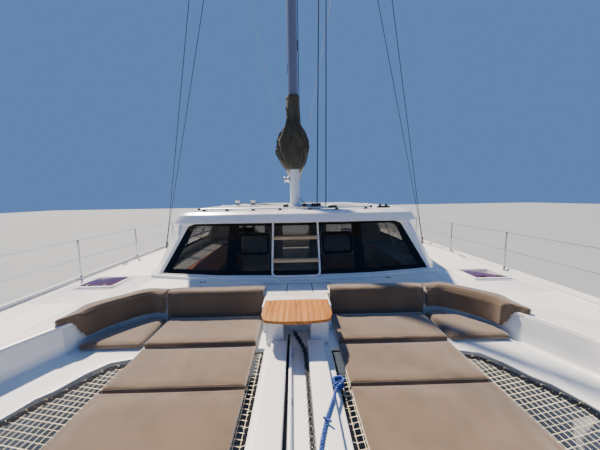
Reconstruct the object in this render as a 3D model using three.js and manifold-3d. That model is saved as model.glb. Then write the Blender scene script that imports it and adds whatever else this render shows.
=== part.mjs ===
// Cruising sailing catamaran with a foredeck lounge between its hulls.
// Units are millimetres. Z = 0 is the waterline, the bows point to -Y and port is +X.
// Pieces that come in pairs are drawn on the port side and mirrored for starboard.

import * as THREE from 'three'
import { mergeVertices } from 'three/addons/utils/BufferGeometryUtils.js'
import Module from 'manifold-3d'

const wasm = await Module()
wasm.setup()

// Levels above the waterline
const DECK = 1900
const DECK_THICK = 40
const TOE_RAIL = 1950
const LEDGE = 1570
const FLOOR = 1150
const UNDERSIDE = 800
const ROOF_BASE = 2820
const ROOF_TOP = 3000
const NET_TOP = 1546
const NET_THICK = 6
const SEAT_TOP = 1650
const PAD_TOP = 1620
const GAP = 0.3
const SWING = 5
const FAR = 9000

// Lengths along the boat
const BOW = -6750
const STERN = 6650
const LOUNGE_BACK = -2140
const LOUNGE_FRONT = -2865
const SALOON_FRONT = -1450
const BULKHEAD = 2720
const BULKHEAD_THICK = 80
const COCKPIT_AFT = 5050
const BRIDGE_AFT = 5600
const CROSSBEAM = { y: -6350, z: 1480, radius: 95 }

// Foredeck lounge
const CUSHION_INNER = 430
const CUSHION_OUTER = 1690
const PAD_SEAM = -3470
const PAD_FRONT = -4650
const LONGERON_HALF = 355
const LONGERON_FRONT = -6560
const CHANNEL_HALF = 110
const CHANNEL_FLOOR = 1560

// Rig
const MAST = { y: -500, halfLong: 160, halfWide: 95, top: 20600, hounds: 17500, upper: 18500 }
const SPREADER = { z: 9300, x: 1880, y: 420, root: 45, tip: 28 }
const CHAINPLATE = { x: 3530, y: 1400 }
const BOOM = { y: -300, low: 3480, high: 3700, halfWide: 80, end: 5150 }
const WIRE = 7

// Parts under water
const HULL_MIDDLE = 2930
const RUDDER_Y = 5400
const STOCK_RADIUS = 30
const PROPELLER = { y: 4190, z: -880, radius: 230, hub: 55 }

// Helm
const WHEEL = { x: -1700, y: 3010, z: 2050, radius: 380 }
const HELM_FACE = 2920

// Hull sections. Columns: y, half-breadths at the deck (inner, outer) and near the water
// (inner, outer), height of the keel line.
const HULL_STATIONS = [
  [BOW, 2920, 2990, 2935, 2975, -120],
  [-6350, 2770, 3140, 2860, 3040, -300],
  [-5300, 2450, 3400, 2690, 3190, -460],
  [-3700, 2290, 3590, 2540, 3340, -560],
  [-1400, 2200, 3680, 2430, 3430, -610],
  [800, 2200, 3700, 2420, 3450, -600],
  [3000, 2200, 3690, 2430, 3440, -520],
  [5000, 2210, 3640, 2450, 3410, -340],
  [6100, 2240, 3570, 2480, 3370, -170],
  [STERN, 2270, 3520, 2520, 3330, -60],
]

// Keel and rudder. Columns: z, leading edge, trailing edge, half thickness.
const KEEL = [
  [-400, -1250, 1750, 170],
  [-1250, -900, 1550, 110],
]
const RUDDER = [
  [-345, 5240, 5690, 32],
  [-1120, 5290, 5620, 22],
]

// Steps down to each transom: y and z along the cut
const STERN_STEPS = [
  [5350, 2200], [5350, 1560], [5700, 1560], [5700, 1190], [6050, 1190],
  [6050, 820], [6350, 820], [6350, 450], [7000, 450], [7000, 2200],
]

// Edge of the lounge and of the inner side deck, port half, from the centreline aft to forward
const RECESS_EDGE = [
  [0, LOUNGE_BACK], [1980, LOUNGE_BACK], [2200, -2340], [2400, -2620], [2450, -2850],
  [2530, -3010], [2690, -3400], [2740, -4300], [2790, -5300], [2850, -5900], [0, -5900],
]

// House outline, port half. Columns: x and y at the deck, x and y at the roof.
const HOUSE_PLAN = [
  [0, -1570, 0, -1130],
  [1250, -1500, 1030, -1075],
  [2370, -1270, 1950, -900],
  [2600, -900, 2200, -560],
  [2700, 0, 2310, 300],
  [2750, 2000, 2360, 2000],
  [2740, BULKHEAD, 2350, BULKHEAD],
]

// Coachroof outline, port half: x, y
const ROOF_PLAN = [
  [0, -1560], [1780, -1560], [1930, -1500], [2280, -700], [2440, 300], [2480, 2000], [2480, 2745],
]

// Coachroof edge: z and how far the outline is drawn in
const ROOF_EDGE = [[ROOF_BASE, -20], [2860, 0], [2945, -20], [ROOF_TOP, -150]]

// Materials
function material(color, roughness, metalness = 0) {
  return new THREE.MeshStandardMaterial({ color, roughness, metalness })
}

const gelcoat = material(0xe9edf0, 0.35)
const nonskid = material(0xdfe3e6, 0.8)
const glass = material(0x1c2126, 0.08)
const canvas = material(0x5a5247, 0.9)
const sailcloth = material(0x7c7466, 0.9)
const alloy = material(0xd5dade, 0.4, 0.8)
const steel = material(0xc4c8cc, 0.25, 1)
const galvanised = material(0x8d8f90, 0.6, 0.9)
const teak = material(0xc49a63, 0.55)
const veneer = material(0xa9805a, 0.5)
const netting = material(0xd8d2bd, 0.8)
const blueRope = material(0x3c6fae, 0.8)
const bronze = material(0x9c7a3a, 0.35, 1)
const acrylic = material(0x4a2f4e, 0.12)
const darkPaint = material(0x24405e, 0.6)

// Solids from three.js geometry

function solid(geometry) {
  const bare = new THREE.BufferGeometry()
  bare.setAttribute('position', geometry.getAttribute('position'))
  bare.setIndex(geometry.getIndex())
  const merged = mergeVertices(bare, 1e-3)
  const index = merged.getIndex().array
  const triangles = []
  for (let i = 0; i < index.length; i += 3) {
    const [a, b, c] = index.slice(i, i + 3)
    if (a !== b && b !== c && c !== a) triangles.push(a, b, c)
  }
  return new wasm.Manifold(new wasm.Mesh({
    numProp: 3,
    vertProperties: new Float32Array(merged.getAttribute('position').array),
    triVerts: new Uint32Array(triangles),
  }))
}

function block(x, y, z) {
  const geometry = new THREE.BoxGeometry(x[1] - x[0], y[1] - y[0], z[1] - z[0])
  geometry.translate((x[0] + x[1]) / 2, (y[0] + y[1]) / 2, (z[0] + z[1]) / 2)
  return solid(geometry)
}

function outlineShape(points) {
  return new THREE.Shape(points.map(([u, v]) => new THREE.Vector2(u, v)))
}

function extrude(points, depth) {
  return new THREE.ExtrudeGeometry(outlineShape(points), { depth, bevelEnabled: false })
}

// A plan outline (x, y) as a plate between two heights
function plate(points, z) {
  const geometry = extrude(points, z[1] - z[0])
  geometry.translate(0, 0, z[0])
  return solid(geometry)
}

// A side outline (y, z) drawn out along X
function alongX(points, x) {
  const geometry = extrude(points, x[1] - x[0])
  geometry.applyMatrix4(new THREE.Matrix4().set(
    0, 0, 1, x[0],
    1, 0, 0, 0,
    0, 1, 0, 0,
    0, 0, 0, 1))
  return solid(geometry)
}

// A cross-section (x, z) drawn out along Y
function alongY(points, y) {
  const geometry = extrude(points, y[1] - y[0])
  geometry.applyMatrix4(new THREE.Matrix4().set(
    1, 0, 0, 0,
    0, 0, -1, y[1],
    0, 1, 0, 0,
    0, 0, 0, 1))
  return solid(geometry)
}

// Triangles over a flat ring, wound with its points or against them
function capFaces(ring, start, withRing) {
  const normal = new THREE.Vector3()
  ring.forEach((p, i) => normal.add(p.clone().cross(ring[(i + 1) % ring.length])))
  const size = normal.toArray().map(Math.abs)
  const [u, v] = ['x', 'y', 'z'].filter((_, i) => size[i] !== Math.max(...size))
  const flat = ring.map((p) => new THREE.Vector2(p[u], p[v]))
  const reversed = THREE.ShapeUtils.isClockWise(flat) === withRing
  return THREE.ShapeUtils.triangulateShape(flat, []).flatMap((face) => (
    (reversed ? face.toReversed() : face).map((i) => start + i)))
}

// A skin over rings of as many points each, closed by a flat cap at both ends
function loft(rings) {
  const count = rings[0].length
  const positions = rings.flat().flatMap((p) => [p.x, p.y, p.z])
  const triangles = []
  for (let ring = 0; ring + 1 < rings.length; ring += 1) {
    for (let i = 0; i < count; i += 1) {
      const a = ring * count + i
      const b = ring * count + (i + 1) % count
      triangles.push(a, b, b + count, a, b + count, a + count)
    }
  }
  triangles.push(...capFaces(rings[0], 0, false))
  triangles.push(...capFaces(rings.at(-1), (rings.length - 1) * count, true))
  if (signedVolume(positions, triangles) < 0) triangles.reverse()
  const geometry = new THREE.BufferGeometry()
  geometry.setAttribute('position', new THREE.Float32BufferAttribute(positions, 3))
  geometry.setIndex(triangles)
  return solid(geometry)
}

function signedVolume(positions, triangles) {
  const corner = (i) => new THREE.Vector3().fromArray(positions, 3 * i)
  let volume = 0
  for (let i = 0; i < triangles.length; i += 3) {
    const [a, b, c] = [0, 1, 2].map((k) => corner(triangles[i + k]))
    volume += a.dot(b.cross(c)) / 6
  }
  return volume
}

// A straight round bar from one point to another
function rod(from, to, radius, sides = 8, endRadius = radius) {
  const start = new THREE.Vector3(...from)
  const end = new THREE.Vector3(...to)
  const axis = end.clone().sub(start)
  const geometry = new THREE.CylinderGeometry(endRadius, radius, axis.length(), sides)
  geometry.translate(0, axis.length() / 2, 0)
  const turn = new THREE.Quaternion().setFromUnitVectors(new THREE.Vector3(0, 1, 0), axis.normalize())
  geometry.applyQuaternion(turn)
  geometry.translate(...from)
  return solid(geometry)
}

// Round bars joined through a row of points
function bars(points, radius, sides = 8) {
  return join(points.slice(1).map((point, i) => rod(points[i], point, radius, sides)))
}

// A bent round tube along a smooth curve
function tube(points, radius, sides, steps) {
  const path = new THREE.CatmullRomCurve3(points.map((p) => new THREE.Vector3(...p)))
  const ring = Array.from({ length: sides }, (_, i) => {
    const angle = 2 * Math.PI * i / sides
    return [radius * Math.cos(angle), radius * Math.sin(angle)]
  })
  return solid(new THREE.ExtrudeGeometry(outlineShape(ring), { steps, extrudePath: path }))
}

// A turned body: profile rows are radius and distance along the line between two points
function turned(profile, from, to, sides) {
  const rows = profile.map(([radius, along]) => new THREE.Vector2(radius, along))
  const geometry = new THREE.LatheGeometry(rows, sides)
  const axis = new THREE.Vector3(...to).sub(new THREE.Vector3(...from)).normalize()
  geometry.applyQuaternion(new THREE.Quaternion().setFromUnitVectors(new THREE.Vector3(0, 1, 0), axis))
  geometry.translate(...from)
  return solid(geometry)
}

function join(solids) {
  return solids.reduce((whole, next) => whole.add(next))
}

function cut(whole, ...tools) {
  return tools.reduce((rest, tool) => rest.subtract(tool), whole)
}

// Outlines

// A port outline and its mirror image, as one outline
function bothSides(half) {
  return [...half, ...half.filter(([x]) => x !== 0).map(([x, y]) => [-x, y]).reverse()]
}

// An outline moved outward by a distance, its corners kept sharp
function offset(points, distance) {
  const turn = THREE.ShapeUtils.isClockWise(points.map(([x, y]) => new THREE.Vector2(x, y))) ? -1 : 1
  return points.map((point, i) => {
    const before = points.at(i - 1)
    const after = points[(i + 1) % points.length]
    const inward = new THREE.Vector2(point[0] - before[0], point[1] - before[1]).normalize()
    const onward = new THREE.Vector2(after[0] - point[0], after[1] - point[1]).normalize()
    const normal = new THREE.Vector2(inward.y + onward.y, -inward.x - onward.x)
    const reach = turn * distance / (1 + inward.dot(onward))
    return [point[0] + normal.x * reach, point[1] + normal.y * reach]
  })
}

function rectangle(u, v) {
  return [[u[0], v[0]], [u[1], v[0]], [u[1], v[1]], [u[0], v[1]]]
}

function ringAt(points, z) {
  return points.map(([x, y]) => new THREE.Vector3(x, y, z))
}

// The object and its nodes
const group = new THREE.Group()
group.name = 'sailing_catamaran'

function place(name, body, finish, sides = 1) {
  const { vertProperties, triVerts } = body.getMesh()
  const geometry = new THREE.BufferGeometry()
  geometry.setAttribute('position', new THREE.BufferAttribute(vertProperties, 3))
  geometry.setIndex(new THREE.BufferAttribute(triVerts, 1))
  const mesh = new THREE.Mesh(geometry, finish)
  mesh.name = name
  mesh.scale.x = sides
  group.add(mesh)
}

function placePair(name, body, finish) {
  place(`${name}_port`, body, finish)
  place(`${name}_starboard`, body, finish, -1)
}

function mirrored(body) {
  const { vertProperties, triVerts } = body.getMesh()
  const geometry = new THREE.BufferGeometry()
  geometry.setAttribute('position', new THREE.BufferAttribute(vertProperties.map((v, i) => (i % 3 ? v : -v)), 3))
  geometry.setIndex(new THREE.BufferAttribute(triVerts.toReversed(), 1))
  return solid(geometry)
}

// Hulls

function hullSection([y, inner, outer, waterInner, waterOuter, bottom], grow) {
  const width = waterOuter - waterInner
  const middle = (waterInner + waterOuter) / 2
  const low = bottom - grow
  return [
    [inner - grow, FAR / 4], [inner - grow, 1200], [(inner + waterInner) / 2 - grow, 620],
    [waterInner - grow, 180], [waterInner + 0.1 * width - grow, 0.5 * low],
    [middle - 0.22 * width, 0.93 * low], [middle, low], [middle + 0.22 * width, 0.93 * low],
    [waterOuter - 0.1 * width + grow, 0.5 * low], [waterOuter + grow, 180],
    [waterOuter + 0.75 * (outer - waterOuter) + grow, 900], [outer + grow, 1500], [outer + grow, FAR / 4],
  ].map(([x, z]) => new THREE.Vector3(x, y, z))
}

function hullForm(grow = 0) {
  return loft(HULL_STATIONS.map((station) => hullSection(station, grow)))
}

function sternSteps(grow = 0) {
  return alongX(STERN_STEPS.map(([y, z]) => [y - grow, z - grow]), [1500, 4500])
}

function recess(bottom = LEDGE) {
  return plate(bothSides(RECESS_EDGE), [bottom, FAR / 4])
}

function rudderBore() {
  return rod([HULL_MIDDLE, RUDDER_Y, -600], [HULL_MIDDLE, RUDDER_Y, -100], STOCK_RADIUS + 1, 24)
}

function hull() {
  const above = block([1500, 4500], [BOW - 500, STERN + 500], [DECK - DECK_THICK - GAP, FAR / 3])
  return cut(hullForm().add(stubKeel()), above, recess(), sternSteps(), rudderBore())
}

// A fin under the hull, thickest from one share of its chord to another
function fin(rows, fullFrom, fullTo, tail) {
  return loft(rows.map(([z, front, back, half]) => {
    const chord = back - front
    const side = [[half, front + fullFrom * chord], [half, front + fullTo * chord], [tail, back]]
    return [[0, front], ...side, ...side.map(([x, y]) => [-x, y]).reverse()]
      .map(([x, y]) => new THREE.Vector3(HULL_MIDDLE + x, y, z))
  }))
}

function stubKeel() {
  return fin(KEEL, 0.12, 0.5, 12)
}

function rudder() {
  const stock = rod([HULL_MIDDLE, RUDDER_Y, -400], [HULL_MIDDLE, RUDDER_Y, -130], STOCK_RADIUS, 24)
  return fin(RUDDER, 0.2, 0.45, 4).add(stock)
}

function saildrive() {
  const { y, z } = PROPELLER
  const leg = plate([
    [0, y - 330], [45, y - 260], [45, y - 120], [6, y - 20],
    [-6, y - 20], [-45, y - 120], [-45, y - 260],
  ].map(([x, along]) => [HULL_MIDDLE + x, along]), [z, -200])
  const pod = turned([[0, 0], [45, 20], [70, 110], [70, 260], [50, 370], [0, 370]],
    [HULL_MIDDLE, y - 371, z], [HULL_MIDDLE, y, z], 16)
  return cut(leg.add(pod), hullForm(GAP))
}

function propeller() {
  const { y, z, radius, hub } = PROPELLER
  const boss = turned([[0, 0], [hub, 0], [hub, 70], [20, 120], [0, 125]],
    [HULL_MIDDLE, y - 0.4, z], [HULL_MIDDLE, y + 1, z], 16)
  const blades = [0, 1, 2].map((number) => {
    const geometry = extrude([[20, -30], [90, -70], [170, -72], [radius, -20], [radius, 15], [150, 60], [20, 30]], 9)
    geometry.translate(0, 0, -4.5)
    geometry.rotateX(0.5)
    geometry.rotateX(Math.PI / 2)
    geometry.rotateY(number * 2 * Math.PI / 3)
    geometry.translate(HULL_MIDDLE, y + 38, z)
    return solid(geometry)
  })
  return join([boss, ...blades])
}

// Bridgedeck with the saloon and cockpit wells, and the deck plate over everything

function saloonWell(bottom) {
  return block([-2150, 2150], [SALOON_FRONT, BULKHEAD - BULKHEAD_THICK], [bottom, FAR / 4])
}

function doorway() {
  return block([-430, 430], [BULKHEAD - 200, BULKHEAD + 200], [FLOOR, 2640])
}

function cockpitWell() {
  const footwell = block([-2150, 2150], [BULKHEAD, COCKPIT_AFT], [FLOOR, FAR / 4])
  const aftSeat = block([-1900, 1900], [COCKPIT_AFT - 10, BRIDGE_AFT + 10], [1560, FAR / 4])
  return footwell.add(aftSeat)
}

// The bench and the helm are moulded with the cockpit
function cockpitBench() {
  const seat = block([1350, 2160], [3250, 4700], [FLOOR - 10, 1560])
  const back = block([2040, 2160], [3250, 4700], [1550, 1840])
  return seat.add(back)
}

function helmStation() {
  const platform = block([-2160, -1300], [BULKHEAD - 5, 4150], [FLOOR - 10, 1420])
  const console = block([-2050, -1350], [BULKHEAD + GAP, HELM_FACE], [1400, 2260])
  const seat = block([-2050, -1350], [3650, 4100], [1400, 1900])
  return join([platform, console, seat])
}

function bridgedeck() {
  const side = [
    [LOUNGE_FRONT, 1859.7], [LOUNGE_FRONT, 1250], [-2500, 900], [-2100, UNDERSIDE],
    [BRIDGE_AFT - 300, UNDERSIDE], [BRIDGE_AFT, 1000], [BRIDGE_AFT, 1859.7],
  ]
  const bulk = alongX(side, [-2420, 2420])
  const port = hullForm(GAP)
  const shell = cut(bulk, port, mirrored(port), recess(), saloonWell(FLOOR), doorway(), cockpitWell())
  return join([shell, cockpitBench(), helmStation()])
}

function hullDeckEdge(drawnIn = 0) {
  const inner = HULL_STATIONS.map(([y, x]) => [x, y])
  const outer = HULL_STATIONS.map(([y, , x]) => [x - drawnIn, y])
  return [...inner, ...outer.reverse()]
}

function deck() {
  const z = [DECK - DECK_THICK, DECK]
  const side = plate(hullDeckEdge(), z)
  const inside = plate(hullDeckEdge(55), [DECK, FAR / 4])
  const rail = cut(plate(hullDeckEdge(), [DECK - 10, TOE_RAIL]), inside,
    block([0, FAR], [BOW - 10, BOW + 250], [DECK, FAR / 4]),
    block([0, 3000], [BOW, STERN], [DECK, FAR / 4]))
  const port = side.add(rail)
  const middle = block([-2320, 2320], [LOUNGE_FRONT, BRIDGE_AFT], z)
  const cabin = plate(houseOutline(0, -45), [0, FAR / 4])
  const frame = hatchFrame()
  const steps = sternSteps()
  return cut(join([port, mirrored(port), middle, frame, mirrored(frame)]),
    recess(), cabin, doorway(), cockpitWell(), steps, mirrored(steps))
}

// Everything up to the deck's surface, which cuts the foot of what stands on it
function underDeck() {
  return block([-FAR, FAR], [-FAR, FAR], [0, DECK + GAP])
}

// Deck hatches over the forward cabins

const HATCH = { x: [2740, 3330], y: [-1800, -1280], lip: DECK + 12, top: DECK + 36 }

function hatchFrame() {
  return block(HATCH.x, HATCH.y, [DECK - 10, HATCH.lip])
}

function hatchLid() {
  const lid = block([HATCH.x[0] + 6, HATCH.x[1] - 6], [HATCH.y[0] + 6, HATCH.y[1] - 6],
    [HATCH.lip + 0.5, HATCH.top])
  const handles = [0.28, 0.72].map((share) => {
    const x = HATCH.x[0] + share * (HATCH.x[1] - HATCH.x[0])
    return block([x - 30, x + 30], [HATCH.y[0] + 30, HATCH.y[0] + 55], [HATCH.top - 5, HATCH.top + 14])
  })
  return join([lid, ...handles])
}

// House: walls, glass and the sashes that open

function houseOutline(level, grow) {
  const half = HOUSE_PLAN.map(([x, y, roofX, roofY]) => [x + level * (roofX - x), y + level * (roofY - y)])
  return offset(bothSides(half), grow)
}

function houseForm(grow, low = 0, high = 1) {
  const height = (level) => DECK + GAP + level * (ROOF_BASE - DECK - 2 * GAP)
  return loft([low, high].map((level) => ringAt(houseOutline(level, grow), height(level))))
}

const WINDSCREEN = [[-2280, 1965], [2280, 1965], [1895, 2775], [-1895, 2775]]
const SIDE_WINDOW = [[-620, 2080], [2250, 2080], [2250, 2620], [-330, 2620]]
const SASH = { x: [440, 970], z: [2270, 2620] }

function glassSkin() {
  return houseForm(-8, -0.02, 1.02).subtract(houseForm(-20, -0.04, 1.04))
}

function houseWalls() {
  const shell = houseForm(0).subtract(houseForm(-45, -0.05, 1.05))
  const front = alongY(WINDSCREEN, [-2500, -950])
  const side = alongX(SIDE_WINDOW, [1500, FAR])
  const rail = block([-480, 1440], [BULKHEAD - 10, BULKHEAD + 45], [2690, 2725])
  return cut(shell.add(rail), front, side, mirrored(side), doorway())
}

function sashHole() {
  const grown = offset(rectangle(SASH.x, SASH.z), SWING)
  return alongY(grown, [-2500, -950])
}

function windscreen() {
  const pane = alongY(offset(WINDSCREEN, -GAP), [-2500, -950])
  return cut(glassSkin().intersect(pane), sashHole(), mirrored(sashHole()))
}

function sash() {
  const pane = alongY(rectangle(SASH.x, SASH.z), [-2500, -950])
  const hinges = [560, 850].map((x) => (
    alongY(rectangle([x - 25, x + 25], [SASH.z[1] - 20, SASH.z[1] + SWING - 0.6]), [-2500, -950])))
  return glassSkin().intersect(join([pane, ...hinges]))
}

function sideGlass() {
  const pane = alongX(offset(SIDE_WINDOW, -GAP), [1500, FAR])
  return glassSkin().intersect(pane)
}

function coachroof() {
  const rings = ROOF_EDGE.map(([z, grow]) => ringAt(offset(bothSides(ROOF_PLAN), grow), z))
  return loft(rings)
}

function hardtop() {
  const roof = [[2290, 2746], [2330, 2900], [2330, 5250], [2180, 5560]]
  const top = loft([[2880, -15], [2900, 0], [2960, -10], [2985, -60]]
    .map(([z, grow]) => ringAt(offset(bothSides(roof), grow), z)))
  const posts = [-2020, 2020].map((x) => rod([x, 5305, DECK - 50], [x, 5200, 2890], 45, 12))
  return cut(join([top, ...posts]), block([-FAR, FAR], [2000, 2745.5], [0, FAR]), underDeck())
}

// Steps from the foredeck to the coachroof, in front of the windscreen
function frontLadder() {
  const side = 378
  const foot = [-1606, 1972]
  const head = [-1192, ROOF_BASE - GAP]
  const rails = [-side, side].map((x) => rod([x, ...foot], [x, ...head], 17, 10))
  const bottom = rod([-side, ...foot], [side, ...foot], 17, 10)
  const feet = [-250, 250].map((x) => block([x - 20, x + 20], [foot[0], -1563], [1940, 1960]))
  const treads = [2215, 2555].map((z) => {
    const y = foot[0] + (z - foot[1]) / (head[1] - foot[1]) * (head[0] - foot[0])
    return block([-side, side], [y - 70, y + 30], [z - 12, z + 12])
  })
  const trim = block([-FAR, FAR], [-3000, 0], [ROOF_BASE - GAP, FAR])
  return cut(join([...rails, bottom, ...feet, ...treads]), trim, houseForm(GAP, -0.1, 1.1))
}

// Forward structure: crossbeam, longeron with its anchor channel, nets, anchor and chain

function crossbeam() {
  const { y, z, radius } = CROSSBEAM
  const beam = rod([-2900, y, z], [2900, y, z], radius, 16)
  const port = hullForm(GAP)
  return cut(beam, port, mirrored(port))
}

function crossbeamRoom() {
  const { y, z, radius } = CROSSBEAM
  return rod([-3000, y, z], [3000, y, z], radius + GAP, 16)
}

function longeron() {
  const half = [
    [CHANNEL_HALF, CHANNEL_FLOOR], [CHANNEL_HALF, 1660], [285, 1660], [285, 1590],
    [LONGERON_HALF, 1590], [LONGERON_HALF, 1525], [230, 1505], [200, 1290],
  ]
  const section = [...half, ...half.map(([x, z]) => [-x, z]).reverse()]
  const beam = alongY(section, [LONGERON_FRONT, LOUNGE_FRONT - GAP])
  return cut(beam, crossbeamRoom())
}

function netPlate() {
  const edge = [
    [LONGERON_HALF + 0.5, LOUNGE_FRONT - 0.5], [2200, LOUNGE_FRONT - 0.5], [2240, -3000],
    [2290, -3700], [2450, -5300], [2730, -6220], [LONGERON_HALF + 0.5, -6220],
  ]
  const net = plate(edge, [NET_TOP - NET_THICK, NET_TOP])
  return cut(net, hullForm(0.5), crossbeamRoom())
}

function anchor() {
  const shank = block([-16, 16], [-6630, -6100], [CHANNEL_FLOOR + GAP, 1620])
  const throat = block([-16, 16], [-6640, -6600], [1240, 1620])
  const fluke = alongY([[-150, 1190], [0, 1270], [150, 1190], [0, 1232]], [-6640, -6240])
  return cut(join([shank, throat, fluke, chain()]), crossbeamRoom())
}

const CHAIN_PATH = [
  [-5, -2600, 1589], [-5, -2900, 1589], [40, -3100, 1580], [50, -3500, 1579], [62, -4000, 1579],
  [55, -4800, 1579], [20, -5600, 1579], [0, -6150, 1585],
]

function chain() {
  return tube(CHAIN_PATH, 17, 8, 40)
}

const ROPE_PATH = [
  [320, -3420, 1602], [319, -3480, 1604], [313, -3525, 1625], [302, -3560, 1658], [284, -3590, 1675],
  [250, -3645, 1674], [190, -3745, 1674], [145, -3850, 1674], [116, -3920, 1675], [101, -3968, 1670],
  [96, -4015, 1645], [96, -4065, 1610], [95, -4110, 1590], [95, -4170, 1580], [94, -4260, 1576],
  [93, -4400, 1575], [91, -4800, 1575], [90, -5400, 1575], [86, -6000, 1575],
]

function snubberRope() {
  return tube(ROPE_PATH, 11, 8, 78)
}

// Foredeck table between the two halves of the lounge

const TABLE = { top: 1980, thick: 30, centre: 125.4, tip: 378, y: [-3080, -2535] }

function tableBase() {
  const { top, thick, centre, y } = TABLE
  const shelf = block([-425, 425], [-2530, LOUNGE_BACK - GAP], [LEDGE + GAP, DECK])
  const legs = [-1, 1].map((side) => block(
    [Math.min(side * 150, side * 350), Math.max(side * 150, side * 350)], [-2840, -2520], [LEDGE + GAP, 1930]))
  const head = block([-350, 350], [-2840, -2500], [1895, top - thick - SWING])
  const panel = block([-centre, centre], y, [top - thick - SWING - 1, top])
  const chainWay = block([-90, 90], [-2900, -2560], [0, 1800])
  return cut(join([shelf, ...legs, head, panel]), chainWay)
}

function tableLeaf() {
  const { top, thick, centre, tip, y } = TABLE
  const inner = centre + 0.6
  return plate([[inner, y[1]], [tip - 8, y[1] - 15], [tip, -2900], [320, -3050], [inner, y[0]]],
    [top - thick, top])
}

// Lounge cushions

function backrestSection() {
  // distance from the recess edge, positive over the deck; z
  return [
    [-GAP, LEDGE + GAP], [-80, LEDGE + GAP], [-80, 1660], [-35, 1955], [25, 2000], [110, 1998],
    [170, 1960], [195, DECK + GAP], [-GAP, DECK + GAP],
  ]
}

function backStraight() {
  return alongX(backrestSection().map(([out, z]) => [LOUNGE_BACK + out, z]), [CUSHION_INNER, 1735])
}

function backCurved() {
  const edge = [[1741, LOUNGE_BACK], ...RECESS_EDGE.slice(1, 5), [2500, -2950]]
  const rings = edge.map((point, i) => {
    const before = edge[Math.max(i - 1, 0)]
    const after = edge[Math.min(i + 1, edge.length - 1)]
    const inward = new THREE.Vector2(point[0] - before[0], point[1] - before[1])
    const onward = new THREE.Vector2(after[0] - point[0], after[1] - point[1])
    if (i === 0) inward.copy(onward)
    if (i === edge.length - 1) onward.copy(inward)
    inward.normalize()
    onward.normalize()
    const reach = 1 / (1 + inward.dot(onward))
    const normal = new THREE.Vector2(-inward.y - onward.y, inward.x + onward.x).multiplyScalar(reach)
    return backrestSection().map(([out, z]) => (
      new THREE.Vector3(point[0] + normal.x * out, point[1] + normal.y * out, z)))
  })
  return cut(loft(rings), block([0, FAR], [-4000, LOUNGE_FRONT], [0, DECK + GAP]))
}

function seatInner() {
  return plate(rectangle([CUSHION_INNER + 5, 1700], [LOUNGE_FRONT + 5, LOUNGE_BACK - 84]), [LEDGE + GAP, SEAT_TOP])
}

function seatOuter() {
  const z = [LEDGE + GAP, SEAT_TOP]
  const insideBacks = plate(offset(bothSides(RECESS_EDGE), -84), z)
  return insideBacks.intersect(block([1706, 3000], [LOUNGE_FRONT + 5, 0], z))
}

function padAft() {
  return plate(rectangle([CUSHION_INNER, CUSHION_OUTER], [PAD_SEAM + 4, LOUNGE_FRONT - 6]), [NET_TOP + GAP, PAD_TOP])
}

function padFore() {
  return plate(rectangle([CUSHION_INNER, CUSHION_OUTER], [PAD_FRONT, PAD_SEAM - 4]), [NET_TOP + GAP, PAD_TOP])
}

// Guardrails: pulpit, stanchions and two wires on each side

const STANCHIONS = [-4650, -2980, -1310, 200, 1900, 3500, 4950]

function railX(y) {
  const next = HULL_STATIONS.findIndex((station) => station[0] > y)
  const [from, to] = [HULL_STATIONS[next - 1], HULL_STATIONS[next]]
  return from[2] + (y - from[0]) / (to[0] - from[0]) * (to[2] - from[2]) - 90
}

function guardrail() {
  const heights = [2260, 2560]
  const posts = STANCHIONS.map((y) => rod([railX(y), y, DECK + GAP], [railX(y), y, 2570], 14, 8))
  const stops = [-6250, ...STANCHIONS]
  const wires = heights.flatMap((z) => stops.slice(1).map((y, i) => (
    rod([railX(stops[i]), stops[i], z], [railX(y), y, z], 5, 6))))
  const pulpit = [
    bars([[2960, -6640, DECK - 20], [2955, -6640, 2480], [railX(-6250), -6250, 2575],
      [railX(-6250), -6250, DECK + GAP]], 15),
    rod([2955, -6640, 2260], [railX(-6250), -6250, 2260], 12),
    rod([2955, -6640, 2480], [2955, -6640, 2496], 15),
  ]
  return cut(join([...posts, ...wires, ...pulpit]), underDeck())
}

// Rig

function mastSection(grow = 0) {
  return Array.from({ length: 16 }, (_, i) => {
    const angle = 2 * Math.PI * i / 16
    return [(MAST.halfWide + grow) * Math.cos(angle), MAST.y + (MAST.halfLong + grow) * Math.sin(angle)]
  })
}

function mastRoom(grow) {
  return plate(mastSection(grow), [2000, MAST.top + 50])
}

function mast() {
  const tube = plate(mastSection(), [ROOF_TOP + GAP, MAST.top])
  const shoe = plate(mastSection(35), [ROOF_TOP + GAP, ROOF_TOP + 60])
  const head = block([-60, 60], [MAST.y - 190, MAST.y + 300], [MAST.top - 20, MAST.top + 60])
  const brackets = [BOOM.low + 25, BOOM.high - 45].map((z) => (
    block([-30, 30], [MAST.y + 100, BOOM.y + 30], [z, z + 20])))
  const winch = turned([[0, 0], [62, 0], [45, 25], [45, 80], [62, 110], [0, 112]],
    [-MAST.halfWide + 20, MAST.y - 30, 3560], [-FAR, MAST.y - 30, 3560], 16)
  return join([tube, shoe, head, ...brackets, winch])
}

function spreaderBar(grow = 0) {
  const { x, y, z, root, tip } = SPREADER
  return rod([0, MAST.y, z], [x + grow, y, z], root + grow, 8, tip + grow)
}

function spreader() {
  return cut(spreaderBar(), mastRoom(GAP))
}

function furledHeadsail() {
  const foot = [0, CROSSBEAM.y, 1690]
  const top = [0, MAST.y - MAST.halfLong, MAST.hounds]
  const length = Math.hypot(top[1] - foot[1], top[2] - foot[2])
  const saddle = block([-150, 150], [CROSSBEAM.y - 55, CROSSBEAM.y + 55], [1660 + GAP, 1705])
  const roll = turned([
    [0, 0], [16, 0], [16, 230], [85, 240], [85, 330], [30, 340], [45, 700], [100, 3200],
    [88, 8000], [50, 13500], [26, 15200], [14, 15400], [14, length], [0, length],
  ], foot, top, 12)
  return cut(roll.add(saddle), mastRoom(GAP))
}

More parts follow.
